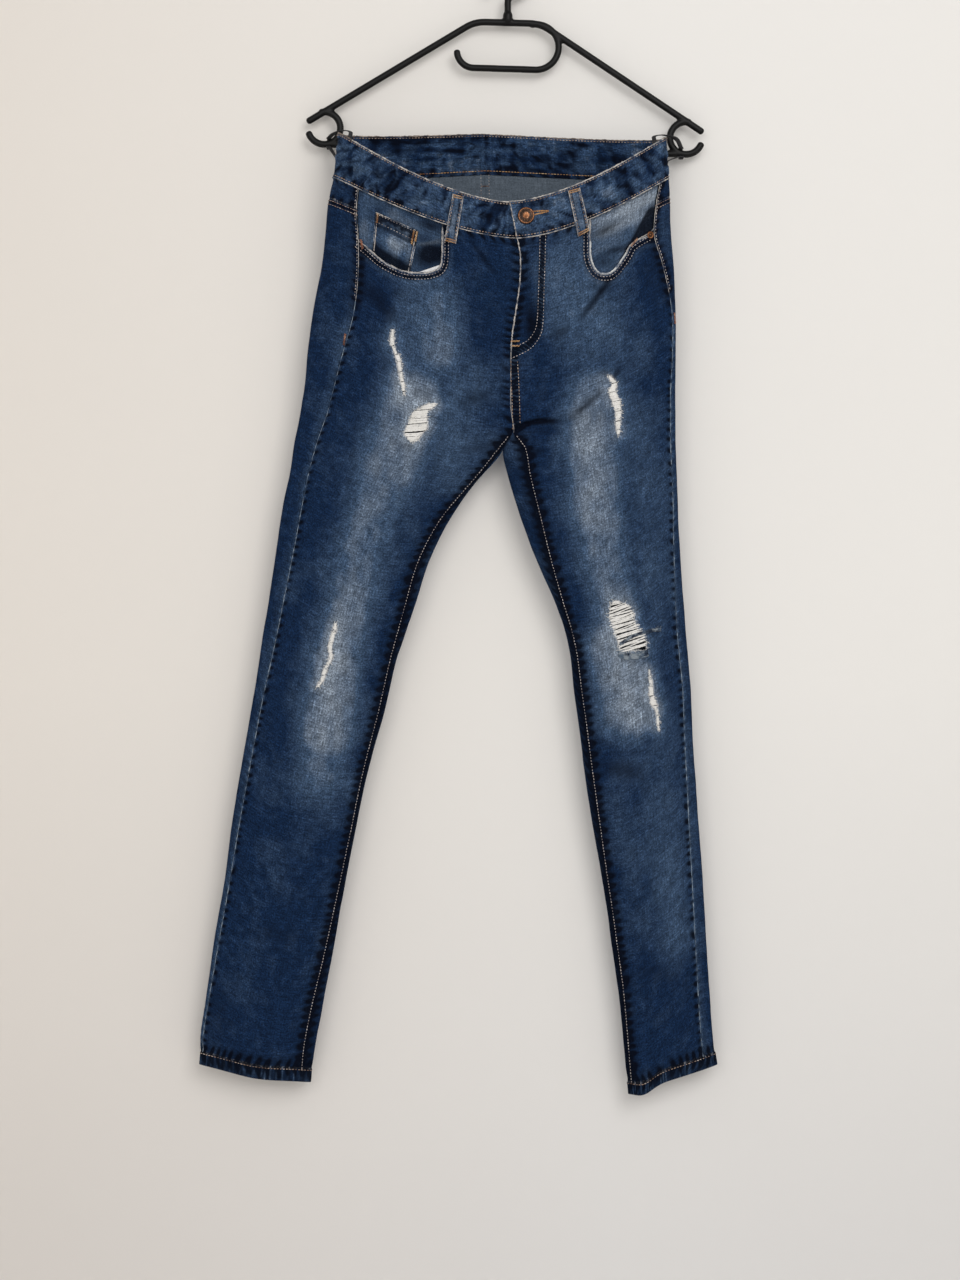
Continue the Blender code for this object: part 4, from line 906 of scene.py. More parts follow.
# ================================================================ node trees
class Nodes:
    """Short calls that build a node tree: sockets or plain values go in, sockets come out."""

    def __init__(self, tree):
        self.tree = tree

    def put(self, socket, value):
        if isinstance(value, bpy.types.NodeSocket):
            self.tree.links.new(value, socket)
        elif value is not None:
            socket.default_value = value

    def add(self, kind, inputs=None, **settings):
        node = self.tree.nodes.new(kind)
        for key, value in settings.items():
            setattr(node, key, value)
        for key, value in (inputs or {}).items():
            self.put(node.inputs[key], value)
        return node

    def math(self, operation, *values):
        return self.add("ShaderNodeMath", dict(enumerate(values)), operation=operation).outputs[0]

    def total(self, *values):
        return reduce(lambda a, b: self.math("ADD", a, b), values)

    def product(self, *values):
        return reduce(lambda a, b: self.math("MULTIPLY", a, b), values)

    def swing(self, value, amount):
        """How far a value from 0 to 1 is off its middle, times an amount."""
        return self.product(self.math("SUBTRACT", value, 0.5), amount)

    def vector(self, operation, a, b):
        return self.add("ShaderNodeVectorMath", {0: a, 1: b}, operation=operation).outputs[0]

    def scaled(self, vector, by):
        return self.add("ShaderNodeVectorMath", {0: vector, "Scale": by}, operation="SCALE").outputs[0]

    def noise(self, vector, scale, detail=1.0, roughness=0.5):
        """Noise that mostly runs from 0 to 1."""
        inputs = {"Vector": vector, "Scale": scale, "Detail": detail, "Roughness": roughness}
        return self.spread(self.add("ShaderNodeTexNoise", inputs).outputs["Fac"], 0.25, 0.75)

    def spread(self, value, low, high, to_low=0.0, to_high=1.0):
        inputs = {0: value, 1: low, 2: high, 3: to_low, 4: to_high}
        return self.add("ShaderNodeMapRange", inputs).outputs[0]

    def mix(self, factor, a, b, blend="MIX"):
        return self.add("ShaderNodeMix", {0: factor, 6: a, 7: b}, data_type="RGBA", blend_type=blend).outputs[2]

    def place(self):
        return self.add("ShaderNodeTexCoord").outputs["Object"]

    def cloth_place(self):
        return self.add("ShaderNodeUVMap", uv_map="cloth").outputs[0]

    def field(self, name):
        return self.add("ShaderNodeAttribute", attribute_name=name, attribute_type="GEOMETRY").outputs["Fac"]


class Group(Nodes):
    """A new node group with its named sockets."""

    def __init__(self, name, kind, inputs, outputs):
        super().__init__(bpy.data.node_groups.new(name, kind))
        for label, socket, default in inputs:
            made = self.tree.interface.new_socket(name=label, in_out="INPUT", socket_type=f"NodeSocket{socket}")
            if default is not None:
                made.default_value = default
        for label, socket in outputs:
            self.tree.interface.new_socket(name=label, in_out="OUTPUT", socket_type=f"NodeSocket{socket}")
        self.given = {socket.name: socket for socket in self.add("NodeGroupInput").outputs if socket.name}
        self.end = self.add("NodeGroupOutput")

    def give(self, **results):
        for label, value in results.items():
            self.put(self.end.inputs[label], value)
        return self.tree


class Finish(Nodes):
    """A new material and the shader that it ends in."""

    def __init__(self, name):
        self.material = bpy.data.materials.new(name)
        self.material.use_nodes = True
        super().__init__(self.material.node_tree)
        self.tree.nodes.clear()
        self.shader = self.add("ShaderNodeBsdfPrincipled")
        self.out = self.add("ShaderNodeOutputMaterial", {"Surface": self.shader.outputs[0]})

    def dress(self, color, roughness, relief=None, specular=None, metallic=None):
        """Sets the shader's inputs; relief is a height with its strength and its depth in metres."""
        values = {"Base Color": color, "Roughness": roughness, "Specular IOR Level": specular, "Metallic": metallic}
        if relief:
            height, strength, depth = relief
            bump = {"Height": height, "Strength": strength, "Distance": depth}
            values["Normal"] = self.add("ShaderNodeBump", bump).outputs[0]
        for label, value in values.items():
            self.put(self.shader.inputs[label], value)
        return self.material


def rgb(*linear):
    return (*linear, 1.0)


def chosen():
    """The sizes and colours set in the sidebar."""
    return bpy.context.scene.jeans


def chosen_color(setting):
    return rgb(*getattr(chosen(), setting))


# ================================================================ finishes
@cache
def washed_twill():
    """Washed indigo twill: the dye's depth, its grain and slubs, white wear, painted shade in puckers, creases and
    hollows, and painted highlights and shade along crumple lines.
    """
    n = Group(
        "Washed twill", "ShaderNodeTree",
        [("Cloth", "Vector", None), ("Fade", "Float", 0.0), ("Wear", "Float", 0.0), ("Shade", "Float", 0.0),
         ("Deep", "Color", chosen_color("deep_dye")), ("Middle", "Color", chosen_color("middle_dye")),
         ("Washed", "Color", chosen_color("washed_dye")), ("Worn", "Color", rgb(0.40, 0.40, 0.41)),
         ("Grain", "Float", 1.0), ("Creases", "Float", 0.0)],
        [("Color", "Color"), ("Height", "Float"), ("Roughness", "Float")],
    )
    at, fade, wear, shade, deep, middle, washed, bare_yarn, grained, crumple_light_amount = n.given.values()
    grain = n.noise(at, 620, 1.5, 0.6)
    slub = n.noise(n.vector("MULTIPLY", at, (640, 70, 0)), 1, 1)
    weft = n.noise(n.vector("MULTIPLY", at, (90, 520, 0)), 1, 0)
    mottle = n.noise(at, 115, 2, 0.6)
    cloud = n.noise(at, 26, 3, 0.55)
    axes = n.add("ShaderNodeSeparateXYZ", {0: at}).outputs
    rib = n.math("SINE", n.product(n.total(axes[0], n.product(axes[1], 0.62)), 4600))
    depth = n.total(fade, n.swing(cloud, 0.14), n.swing(mottle, 0.07))
    color = n.mix(n.spread(depth, 0.0, 0.34), deep, middle)
    color = n.mix(n.spread(depth, 0.34, 0.95), color, washed)
    streaks = n.product(n.swing(slub, 1.0), n.spread(depth, 0.0, 0.6, 0.30, 0.72))
    speckle = n.total(n.swing(grain, 1.5), streaks, n.swing(weft, 0.4), n.swing(mottle, 0.5), n.product(rib, 0.06))
    # Painted highlights and shade along crumpled lines, as much as the Creases input asks for.
    bent = n.add("ShaderNodeTexNoise", {
        "Vector": n.vector("MULTIPLY", at, (44, 128, 0)), "Scale": 1.0, "Detail": 2.0, "Roughness": 0.6,
        "Distortion": 0.4}).outputs["Fac"]
    lit, folded = (n.math("ABSOLUTE", n.math("SUBTRACT", bent, level)) for level in (0.52, 0.44))
    painted_crumple_light = n.math("SUBTRACT", n.spread(lit, 0.035, 0.0, 0.0, 0.75), n.spread(folded, 0.05, 0.0, 0.0, 0.95))
    painted_crumple_light = n.product(n.total(painted_crumple_light, n.swing(bent, 1.6)), crumple_light_amount)
    speckle = n.total(n.product(speckle, grained), painted_crumple_light)
    color = n.scaled(color, n.math("EXPONENT", speckle))
    bare = n.total(wear, n.swing(grain, 0.55), n.swing(mottle, 0.45), n.swing(slub, 0.25))
    bare = n.product(n.spread(bare, 0.34, 0.92), n.spread(wear, 0.03, 0.2))
    color = n.mix(bare, color, n.scaled(bare_yarn, n.math("EXPONENT", n.product(speckle, 0.35))))
    # Painted shade: the Shade mask mixes the colour towards near black.
    dark = n.total(shade, n.swing(grain, 0.22), n.swing(mottle, 0.2))
    dark = n.product(n.spread(dark, 0.04, 0.66, 0.0, 0.92), n.spread(shade, 0.0, 0.1))
    return n.give(
        Color=n.mix(dark, color, rgb(0.0010, 0.0018, 0.0055)),
        Height=n.total(*(n.product(value, amount) for value, amount in (
            (painted_crumple_light, 0.5), (rib, 0.16), (grain, 0.34), (slub, 0.22), (mottle, 0.3)))),
        Roughness=n.spread(grain, 0, 1, 0.74, 0.95),
    )


@cache
def denim(name, fade=None, wear=None, shade=None, grain=1.0, creases=0.0, **dyes):
    """A denim finish; fade, wear and painted shade come from the piece's attributes unless given, and creases sets the
    painted highlights and shade along crumple lines.
    """
    n = Finish(name)
    inputs = {"Cloth": n.cloth_place(), "Grain": grain, "Creases": creases, **dyes}
    for label, value in (("Fade", fade), ("Wear", wear), ("Shade", shade)):
        inputs[label] = n.field(label.lower()) if value is None else value
    twill = n.add("ShaderNodeGroup", inputs, node_tree=washed_twill()).outputs
    return n.dress(twill["Color"], twill["Roughness"], (twill["Height"], 0.35, 0.0009), 0.05)


def denim_out():
    return denim("denim_washed")


def denim_wrong():
    """The wrong side: pale weft with little dye."""
    return denim(
        "denim_wrong_side", fade=0.40, wear=0.0, shade=0.0, grain=0.42,
        Deep=rgb(0.050, 0.064, 0.088), Middle=rgb(0.080, 0.101, 0.128), Washed=rgb(0.125, 0.148, 0.175),
    )


@cache
def cotton_cloth():
    n = Finish("pocketing_cotton")
    at = n.cloth_place()
    weave = n.noise(at, 900, 1)
    color = n.mix(n.noise(at, 260, 2), rgb(0.76, 0.76, 0.76), rgb(0.60, 0.61, 0.64))
    return n.dress(color, n.spread(weave, 0, 1, 0.85, 0.98), (weave, 0.4, 0.0004), 0.1)


@cache
def yarn_fibres():
    """Spun yarn: patches where the colour has rubbed off or darkened, and a fine fibre height."""
    n = Group(
        "Yarn fibres", "ShaderNodeTree",
        [("Place", "Vector", None), ("Main", "Color", rgb(0.4, 0.3, 0.2)), ("Rubbed", "Color", rgb(0.6, 0.55, 0.5)),
         ("Soiled", "Color", rgb(0.1, 0.07, 0.05)), ("Rub", "Float", 0.4), ("Soil", "Float", 0.3)],
        [("Color", "Color"), ("Height", "Float")],
    )
    at, main, rubbed, soiled, rub, soil = n.given.values()
    rub = n.spread(n.total(n.noise(at, 190, 2), rub), 0.75, 1.1)
    soil = n.spread(n.total(n.noise(n.vector("ADD", at, (0.7, 0.3, 0.5)), 130, 2), soil), 0.75, 1.15)
    fibre = n.noise(at, 2600, 1)
    color = n.mix(soil, n.mix(rub, main, rubbed), soiled)
    return n.give(Color=n.mix(0.25, color, n.mix(fibre, rgb(0, 0, 0), color)), Height=fibre)


# Each yarn's own, rubbed and soiled colours, and how much of it is rubbed and soiled; a name is a setting.
YARNS = {
    "thread_tan": ("tan_thread", (0.56, 0.48, 0.43), (0.13, 0.08, 0.06), 0.4, 0.3),
    "thread_pale": ("pale_thread", (0.60, 0.56, 0.55), (0.17, 0.15, 0.16), 0.4, 0.3),
    "thread_orange": ("orange_thread", (0.62, 0.42, 0.24), (0.22, 0.09, 0.04), 0.4, 0.3),
    "thread_brown": ((0.31, 0.20, 0.16), (0.44, 0.36, 0.32), (0.09, 0.05, 0.04), 0.4, 0.3),
    "thread_rust": ((0.36, 0.15, 0.09), (0.50, 0.30, 0.20), (0.12, 0.05, 0.04), 0.4, 0.3),
    "rubbed_edge": ((0.40, 0.38, 0.37), (0.60, 0.56, 0.52), (0.07, 0.085, 0.12), 0.42, 0.34),
    "rubbed_edge_browned": ((0.20, 0.155, 0.125), (0.33, 0.28, 0.24), (0.05, 0.045, 0.05), 0.4, 0.35),
    "rubbed_leg_seam": ((0.13, 0.19, 0.28), (0.30, 0.37, 0.45), (0.02, 0.04, 0.08), 0.42, 0.4),
    "rubbed_rope": ((0.50, 0.52, 0.54), (0.68, 0.69, 0.69), (0.14, 0.17, 0.23), 0.45, 0.25),
    "bared_weft_cotton": ("weft_color", (0.88, 0.87, 0.85), (0.50, 0.51, 0.53), 0.4, 0.05),
    "torn_denim": ((0.095, 0.135, 0.19), (0.27, 0.31, 0.35), (0.012, 0.022, 0.045), 0.40, 0.32),
    "warp_ends": ((0.13, 0.18, 0.25), (0.30, 0.34, 0.38), (0.03, 0.05, 0.1), 0.45, 0.3),
}


@cache
def yarn(name):
    main, rubbed, soiled, rub, soil = YARNS[name]
    n = Finish(name)
    fibres = n.add("ShaderNodeGroup", {
        "Place": n.place(), "Main": chosen_color(main) if isinstance(main, str) else rgb(*main),
        "Rubbed": rgb(*rubbed),
        "Soiled": rgb(*soiled), "Rub": rub, "Soil": soil}, node_tree=yarn_fibres()).outputs
    return n.dress(fibres["Color"], 0.8, (fibres["Height"], 0.3, 0.0002), 0.2)


@cache
def copper(tarnished=False):
    """Aged copper, or the darker copper of its hollows."""
    n = Finish("tarnished_copper" if tarnished else "aged_copper")
    if tarnished:
        colors, metallic = (rgb(0.055, 0.025, 0.014), rgb(0.012, 0.008, 0.006), rgb(0.20, 0.09, 0.045)), 0.6
    else:
        colors, metallic = (chosen_color("copper_color"), rgb(0.07, 0.028, 0.014), rgb(0.55, 0.32, 0.20)), 0.9
    main, dull, bright = colors
    at = n.place()
    tarnish = n.noise(at, 420, 3, 0.6)
    scuff = n.noise(n.vector("MULTIPLY", at, (1500, 1500, 300)), 1, 1)
    color = n.mix(n.spread(scuff, 0.7, 1), n.mix(tarnish, main, dull), bright)
    return n.dress(color, n.spread(tarnish, 0, 1, 0.24, 0.5), (scuff, 0.12, 0.0002), metallic=metallic)


@cache
def black_plastic():
    n = Finish("hanger_plastic")
    at = n.place()
    flow, fine = n.noise(at, 90, 3, 0.6), n.noise(at, 1700, 2, 0.6)
    black = chosen().plastic_color
    color = n.mix(flow, rgb(*(c * 0.5 for c in black)), rgb(*black))
    roughness = n.spread(n.total(flow, n.product(fine, 0.4)), 0, 1.4, 0.30, 0.46)
    return n.dress(color, roughness, (fine, 0.08, 0.0002), 0.17)


@cache
def woven_tape():
    n = Finish("tape_weave")
    at = n.place()
    weave = n.noise(at, 1500, 1)
    ribs = n.noise(n.vector("MULTIPLY", at, (150, 150, 1600)), 1, 0)
    color = n.mix(n.product(weave, ribs), rgb(0.006, 0.006, 0.008), rgb(0.035, 0.035, 0.04))
    return n.dress(color, n.spread(weave, 0, 1, 0.55, 0.8), (ribs, 0.5, 0.0004))


# ================================================================ the cloth pieces
def make_panel(name, side, blocks, high, low, pair=None, fields=None, relief=1.0):
    """One cloth wall over several blocks of cells: each block is (top, foot, first, last)."""
    surface = cloth()
    across, down = surface.across[side], surface.down[side]
    first, last = blocks[0][2:]
    middle = (across[:, first : first + 1] + across[:, last : last + 1]) / 2
    uv_points = np.stack([across - middle, -down], axis=2)
    if len(blocks) > 1:
        uv_points[:, : WRAP + 1, 0] += across[:, -1:] - across[:, :1]
    faces, flat = (np.concatenate(parts) for parts in zip(*[surface.cells(side, *block) for block in blocks]))
    base = surface.points + surface.normals * (surface.fields["relief"] * relief)[:, None]
    return shell(
        name, base, surface.normals, faces, flat, uv_points.reshape(-1, 2), high, low,
        pair or [denim_out(), denim_wrong()], fields or {key: surface.fields[key] for key in Cloth.COLORS},
    )


def fly_sink():
    """How far the underlap lies back beneath the fly, for every point."""
    x, y, z = cloth().points.T
    fronts = np.array([(row.front_z, row.front_x) for row in CENTRE])
    centre_x = np.interp(-z, -fronts[:, 0], fronts[:, 1])
    across = np.clip(1 - (centre_x - x) / 32, 0, 1)
    above = np.clip((z + 470) / 60, 0, 1)
    return np.where((y < -30) & (x <= centre_x + 0.01), -(DENIM_WALL + SEAM_GAP) * across**2 * above, 0.0)


def facing_fields():
    """The pocket facings' own fades, and painted shadows in the pockets' depth and in the left opening's gap."""
    x, _, z = cloth().points.T

    def patch(at_x, at_z, half_x, half_z, lean=0.0):
        return bell(x - at_x, half_x) * bell(z - at_z - (x - at_x) * lean, half_z)

    cloudy = noise(x / 17, z / 13, 121)
    whisker = flecks((x * 0.45 - z) / 7.5, (x + z) / 80, 120)
    right = 0.24 + 0.16 * cloudy + 0.2 * patch(-100, -283, 24, 7, -0.4) + 0.4 * patch(-82, -303.5, 15, 2.4, 0.1)
    right += 0.2 * patch(-148, -280, 7, 30)
    # Painted shadow in the right pocket's depth.
    right_dark = 0.85 * patch(-79, -314, 17, 12) + 0.5 * patch(-80, -286, 12, 5, -0.3)
    right_dark += 0.15 * patch(-118, -272, 30, 5, -0.45)
    left = 0.36 + 0.75 * patch(128, -268, 34, 15, 0.7) + 0.25 * patch(92, -283, 9, 12) + 0.1 * cloudy
    # Painted shadows across the left facing.
    left_dark = 0.5 * patch(100, -290, 13, 3.6, 0.5) + 0.42 * patch(112, -309, 14, 4, 0.25)
    left_dark += 0.25 * patch(98, -322, 12, 7)
    # Painted shadow in the left opening's gap, by the rivet.
    gape = np.clip((x - 134 - (z + 287) * 0.55) / 4 + 0.5, 0, 1) * np.clip((-262 - z) / 7, 0, 1)
    fade = np.where(x < 0, right, left * (0.75 + 0.42 * whisker))
    shade = np.where(x < 0, right_dark, left_dark + 0.95 * gape) + 0.14 * (1 - whisker)
    return {"fade": np.clip(fade, 0, 1), "wear": np.zeros(len(x)), "shade": np.clip(shade, 0, 1)}


def make_panels():
    """Fronts, backs, yokes, hem folds and pocket facings: for each, its cells and both sides' flat sizes."""
    first = WRAP + FRONT // 3
    hem_pair = [denim_out(), denim("denim_hem_inside", fade=0.12, wear=0.0, shade=0.1)]
    facing = {"fields": facing_fields(), "relief": 0.5}
    panels = (
        ("front", "panel", [(WAIST, HEM, WRAP, SIDE_COLUMN)], 0.0, DENIM_WALL, "denim", {},
         ((0.194, 0.920), 0.122), ((0.174, 0.915), 0.1055)),
        ("back", "panel", [(YOKE, HEM, SIDE_COLUMN, COLUMNS), (MEET, HEM, 0, WRAP)], 0.0, DENIM_WALL, "denim", {},
         ((0.263, 0.952), 0.170), ((0.242, 0.949), 0.150)),
        ("yoke", "panel", [(WAIST, YOKE, SIDE_COLUMN, COLUMNS)], 0.0, DENIM_WALL, "denim", {},
         ((0.216, 0.066), 0.0079), ((0.227, 0.066), 0.0085)),
        ("hem", "band", [(HEM, level(HEM_FOOT_ROW), 0, COLUMNS)], HEM_PROUD, HEM_WALL, "denim", {"pair": hem_pair},
         ((0.243, 0.0135), None), ((0.202, 0.0135), None)),
        ("pocket_facing", "panel", [(WAIST, level(FACING_FOOT_ROW), first, SIDE_COLUMN)], -FACING_DEPTH, LINING_WALL,
         "faded_denim", facing, ((0.128, 0.134), 0.013), ((0.128, 0.134), 0.013)),
    )
    for part, word, blocks, proud, wall, slot, own, *sizes in panels:
        for side, (flat, area) in zip(SIDES, sizes):
            high = fly_sink() if (part, side) == ("front", "right") else proud
            obj = make_panel(f"{part}_{side}_{word}", side, blocks, high, high - wall, **own)
            if part == "front":
                cut_panel(obj, side)
            sheet(obj, f"{part}_{side}", slot)


UNDER_BAND = BAND_WALL + SEAM_GAP + 0.1  # how far back the waistband's lapped end lies
LAPPED = UNDERLAP_COLUMNS + RISE_COLUMNS


def make_waistband():
    """One strip, from behind the buttonhole end round the right, the back and the left to the fly."""
    surface = cloth()
    share = crowded(FRONT)
    start = int(np.searchsorted(share, UNDERLAP_COLUMNS / COARSE_FRONT))
    order = [("left", WRAP + c) for c in range(start, -1, -1)]
    order += [("right", c) for c in range(WRAP + 1, COLUMNS + 1)]
    order += [("left", c) for c in range(COLUMNS - 1, WRAP - 1, -1)]
    turns = np.full(len(order), 99.0)
    turns[: start + 1] = UNDERLAP_COLUMNS - COARSE_FRONT * share[start::-1]
    turns[start + 1 : start + 1 + FRONT] = UNDERLAP_COLUMNS + COARSE_FRONT * share[1:]
    sinks = -UNDER_BAND * np.clip((LAPPED - turns) / RISE_COLUMNS, 0, 1)
    ids = np.stack([surface.index[side][: WAIST + 1, column] for side, column in order], axis=1)
    down = np.stack([surface.down[side][: WAIST + 1, column] for side, column in order], axis=1)
    relief = surface.fields["relief"][ids] * (np.arange(len(order)) >= start)
    normals = surface.normals[ids]
    base = surface.points[ids] + normals * relief[..., None]
    roll = np.clip(1 - down / 2.4, 0, 1) ** 2 * 0.75
    along = np.broadcast_to(reach_along(base[(WAIST + 1) // 2]), ids.shape)
    faces = two_triangles(np.arange(ids.size).reshape(ids.shape))
    fields = {key: surface.fields[key][ids].ravel() for key in Cloth.COLORS}
    end = np.clip(1 - np.abs(along - along[:, -1:]) / 1.6, 0, 1).ravel()
    fields["wear"] = np.clip(fields["wear"] + 0.8 * end, 0, 1)
    # Both band finishes carry painted highlights and shade along crumple lines.
    inside = denim("denim_band_inside", wear=0.0, creases=0.4, Middle=rgb(0.026, 0.050, 0.098))
    obj = shell(
        "waistband_strip", base.reshape(-1, 3), normals.reshape(-1, 3), faces, faces,
        np.stack([along, -down], axis=2).reshape(-1, 2),
        (BAND_PROUD + sinks - roll).ravel(), (BAND_PROUD + sinks - BAND_WALL + roll).ravel(),
        [denim("denim_crumpled", creases=0.36), inside], fields,
    )
    sheet(obj, "waistband", "denim")


# ================================================================ flaps: pockets and belt loops
Flap = namedtuple("Flap", "node face top_left top_right foot_left foot_right low high arch")
BELT_LOOPS = table(
    Flap,
    ("belt_loop_front_right", "front", (-57, -254), (-45.5, -256.5), (-65.5, -301.5), (-53.5, -304.5), 0.95, 2.75, 0.9),
    ("belt_loop_front_left", "front", (60.5, -251), (73, -247.5), (71, -297.5), (83, -291), 0.95, 2.75, 0.9),
    ("belt_loop_back_right", "back", (-101, -186), (-112.5, -186.5), (-101.5, -238), (-113, -238), 0.95, 2.55, 0.3),
    ("belt_loop_back_left", "back", (71.5, -189), (60, -189), (72, -240), (60.5, -240), 0.95, 2.55, 0.3),
    ("belt_loop_centre_back", "back", (-19, -186), (-30.5, -186), (-18.5, -238), (-30, -238), 0.95, 2.55, 0.3))
COIN_POCKET, POCKETING = table(
    Flap,
    ("coin_pocket", "front", (-136.5, -270.5), (-92, -291), (-140.5, -312), (-102, -336.5), -2.35, -1.5, 0),
    ("pocketing_right", "front", (-103, -335.4), (-66.5, -323.6), (-97, -342.5), (-64.5, -333.0), -2.35, -1.5, 0))
BackPocket = namedtuple("BackPocket", "node face centre_x top_z half_top half_foot side_height point low high arch")
BACK_POCKETS = table(
    BackPocket,
    ("back_pocket_right", "back", -108, -322, 66, 58, 128, 24, 0.7, 1.8, 0),
    ("back_pocket_left", "back", 80, -322, 66, 58, 128, 24, 0.7, 1.8, 0))


def flap_place(flap, across, down):
    """The x, z of a place on a flap, from 0 to 1 across it and down it."""
    if isinstance(flap, BackPocket):
        half = flap.half_top + (flap.half_foot - flap.half_top) * down
        height = flap.side_height + flap.point * (1 - abs(2 * across - 1))
        return flap.centre_x - (2 * across - 1) * half, flap.top_z - height * down
    top = np.array(flap.top_left) * (1 - across) + np.array(flap.top_right) * across
    foot = np.array(flap.foot_left) * (1 - across) + np.array(flap.foot_right) * across
    return tuple(top * (1 - down) + foot * down)


def make_flap(flap, rows, columns, paint, materials):
    """A sewn-on piece read off the cloth; paint(u, v, width, height) gives relief and colour fields."""
    spots = [
        cloth().at(*flap_place(flap, j / columns, i / rows), flap.face)
        for i in range(rows + 1) for j in range(columns + 1)
    ]
    base, normals = np.array(spots).transpose(1, 0, 2)
    lifts = np.repeat(flap.arch * np.sin(np.pi * np.arange(rows + 1) / rows), columns + 1)
    grid = base.reshape(rows + 1, columns + 1, 3)
    width, height = reach_along(grid[rows // 2])[-1], reach_along(grid[:, columns // 2])[-1]
    v, u = np.meshgrid(np.linspace(0, height, rows + 1), np.linspace(0, width, columns + 1), indexing="ij")
    u, v = u.ravel(), v.ravel()
    fields = paint(u, v, width, height)
    relief = fields.pop("relief")
    faces = facing_out(two_triangles(np.arange(len(base)).reshape(rows + 1, columns + 1)), base, normals)
    roll = 0.35 * np.clip(1 - np.minimum.reduce([u, width - u, v, height - v]) / 1.4, 0, 1) ** 2
    return shell(
        f"{flap.node}_piece", base, normals, faces, faces, np.stack([u, -v], 1),
        flap.high + lifts + relief - roll, flap.low + lifts + np.minimum(relief, 0), materials, fields,
    )


def paint_loop(seed):
    """A belt loop, its two folded edges rubbed, and puckered with painted shade."""
    def paint(u, v, width, height):
        edge = np.minimum(u, width - u)
        ticks, inner = flecks(u / 2.2, v / 1.7, seed), bell(edge - 3, 1.3)
        return {
            "relief": 0.25 * noise(u / 4, v / 7, seed + 1) - 0.3 * inner * ticks,
            "fade": 0.38 + 0.22 * noise(u / 5, v / 9, seed + 2),
            "wear": bell(edge, 1.1) * 0.95,
            "shade": np.clip(inner * ticks - 0.05, 0, 0.85),
        }
    return paint


def paint_coin(u, v, width, height):
    """The coin pocket: painted shade in the puckers of its top fold and inside its stitching, in its corners and at its
    foot, and a pale middle.
    """
    edge = np.minimum.reduce([u, width - u, v])
    ticks = flecks(u / 2.4, v / 2.2, 401)
    frame = bell(edge - 3.2, 1.6) * ticks
    folded = np.clip((12.5 - v) / 2, 0, 1)
    faded = bell(u - width * 0.52, 13) * bell(v - 24, 8)
    corner = np.clip(1 - np.hypot(u - 2, v - 5) / 8, 0, 1) + np.clip(1 - np.hypot(width - u - 2, v - 7) / 9, 0, 1)
    foot = np.clip((v - height + 15) / 9, 0, 1) + bell(v - 13.5, 1.6) * 0.7
    shade = frame * 0.8 + corner * 0.8 + foot * 0.9 + folded * (0.15 + 0.5 * ticks) - faded * 0.3
    return {
        "relief": 0.3 * noise(u / 9, v / 11, 402) - 0.35 * frame + 0.35 * folded,
        "fade": np.clip(0.26 + 0.55 * faded + 0.2 * noise(u / 7, v / 9, 403) + 0.12 * folded, 0, 1),
        "wear": bell(edge, 1) * 0.7,
        "shade": np.clip(shade, 0, 0.95),
    }


def paint_pocketing(u, v, width, height):
    return {"relief": 0.2 * noise(u / 6, v / 4, 411), "fade": u * 0, "wear": u * 0, "shade": u * 0}


def paint_back_pocket(seed):
    """A back pocket: puckers, darkened with painted shade, inside its seams and below its top fold, and a pale middle.
    """
    def paint(u, v, width, height):
        edge = np.minimum.reduce([u, width - u, v, height - v])
        seam = (bell(edge - 4.5, 2.5) + bell(v - 20, 2) * 0.8) * flecks((u + v) / 3.5, (u - v) / 3.5, seed)
        middle = bell(u - width / 2, 36) * bell(v - height * 0.45, 48)
        return {
            "relief": 0.4 * noise(u / 30, v / 34, seed + 1) - 0.45 * seam + 0.25 * (v < 22),
            "fade": 0.16 + 0.34 * middle + 0.12 * noise(u / 14, v / 22, seed + 2),
            "wear": bell(edge, 1.4) * 0.85,
            "shade": np.clip(seam * 0.75, 0, 0.9),
        }
    return paint


def make_pockets():
    pair = [denim_out(), denim_wrong()]
    coin = make_flap(COIN_POCKET, 28, 28, paint_coin, pair)
    sheet(coin, "coin_pocket", "faded_denim")
    lining = make_flap(POCKETING, 8, 20, paint_pocketing, [cotton_cloth()] * 2)
    sheet(lining, "pocketing_right", "white_cotton")
    for seed, pocket in zip((420, 430), BACK_POCKETS):
        piece = make_flap(pocket, 64, 56, paint_back_pocket(seed), pair)
        sheet(piece, pocket.node, "denim")


def make_belt_loops():
    for number, flap in enumerate(BELT_LOOPS):
        piece = make_flap(flap, 36, 12, paint_loop(440 + 5 * number), [denim_out()] * 2)
        sheet(piece, flap.node, "denim")


# ================================================================ threads and stitches
def thread_group(name, inputs, result):
    """A geometry tree over lines, with the inputs that both kinds of sewing share."""
    shared = [("Lines", "Geometry", None), ("Thread radius", "Float", 0.0004), ("Unevenness", "Float", 0.2),
              ("Seed", "Int", 1), ("Finish", "Material", None)]
    n = Group(name, "GeometryNodeTree", shared + inputs, [(result, "Geometry")])
    return n, n.given, n.add("GeometryNodeMeshToCurve", {0: n.given["Lines"]}).outputs[0]


def uneven(n, seed):
    """A random factor about 1 for each point."""
    factor = n.add("FunctionNodeRandomValue", {"Seed": seed}, data_type="FLOAT")
    n.put(factor.inputs[2], n.math("SUBTRACT", 1.0, n.given["Unevenness"]))
    n.put(factor.inputs[3], n.math("ADD", 1.0, n.given["Unevenness"]))
    return factor.outputs[1]


def made_real(n, geometry):
    """The tree's end: real, smooth geometry in the chosen finish."""
    steps = ("RealizeInstances", {}), ("SetShadeSmooth", {}), ("SetMaterial", {"Material": n.given["Finish"]})
    for kind, inputs in steps:
        geometry = n.add(f"GeometryNode{kind}", {0: geometry, **inputs}).outputs[0]
    n.put(n.end.inputs[0], geometry)
    return n.tree


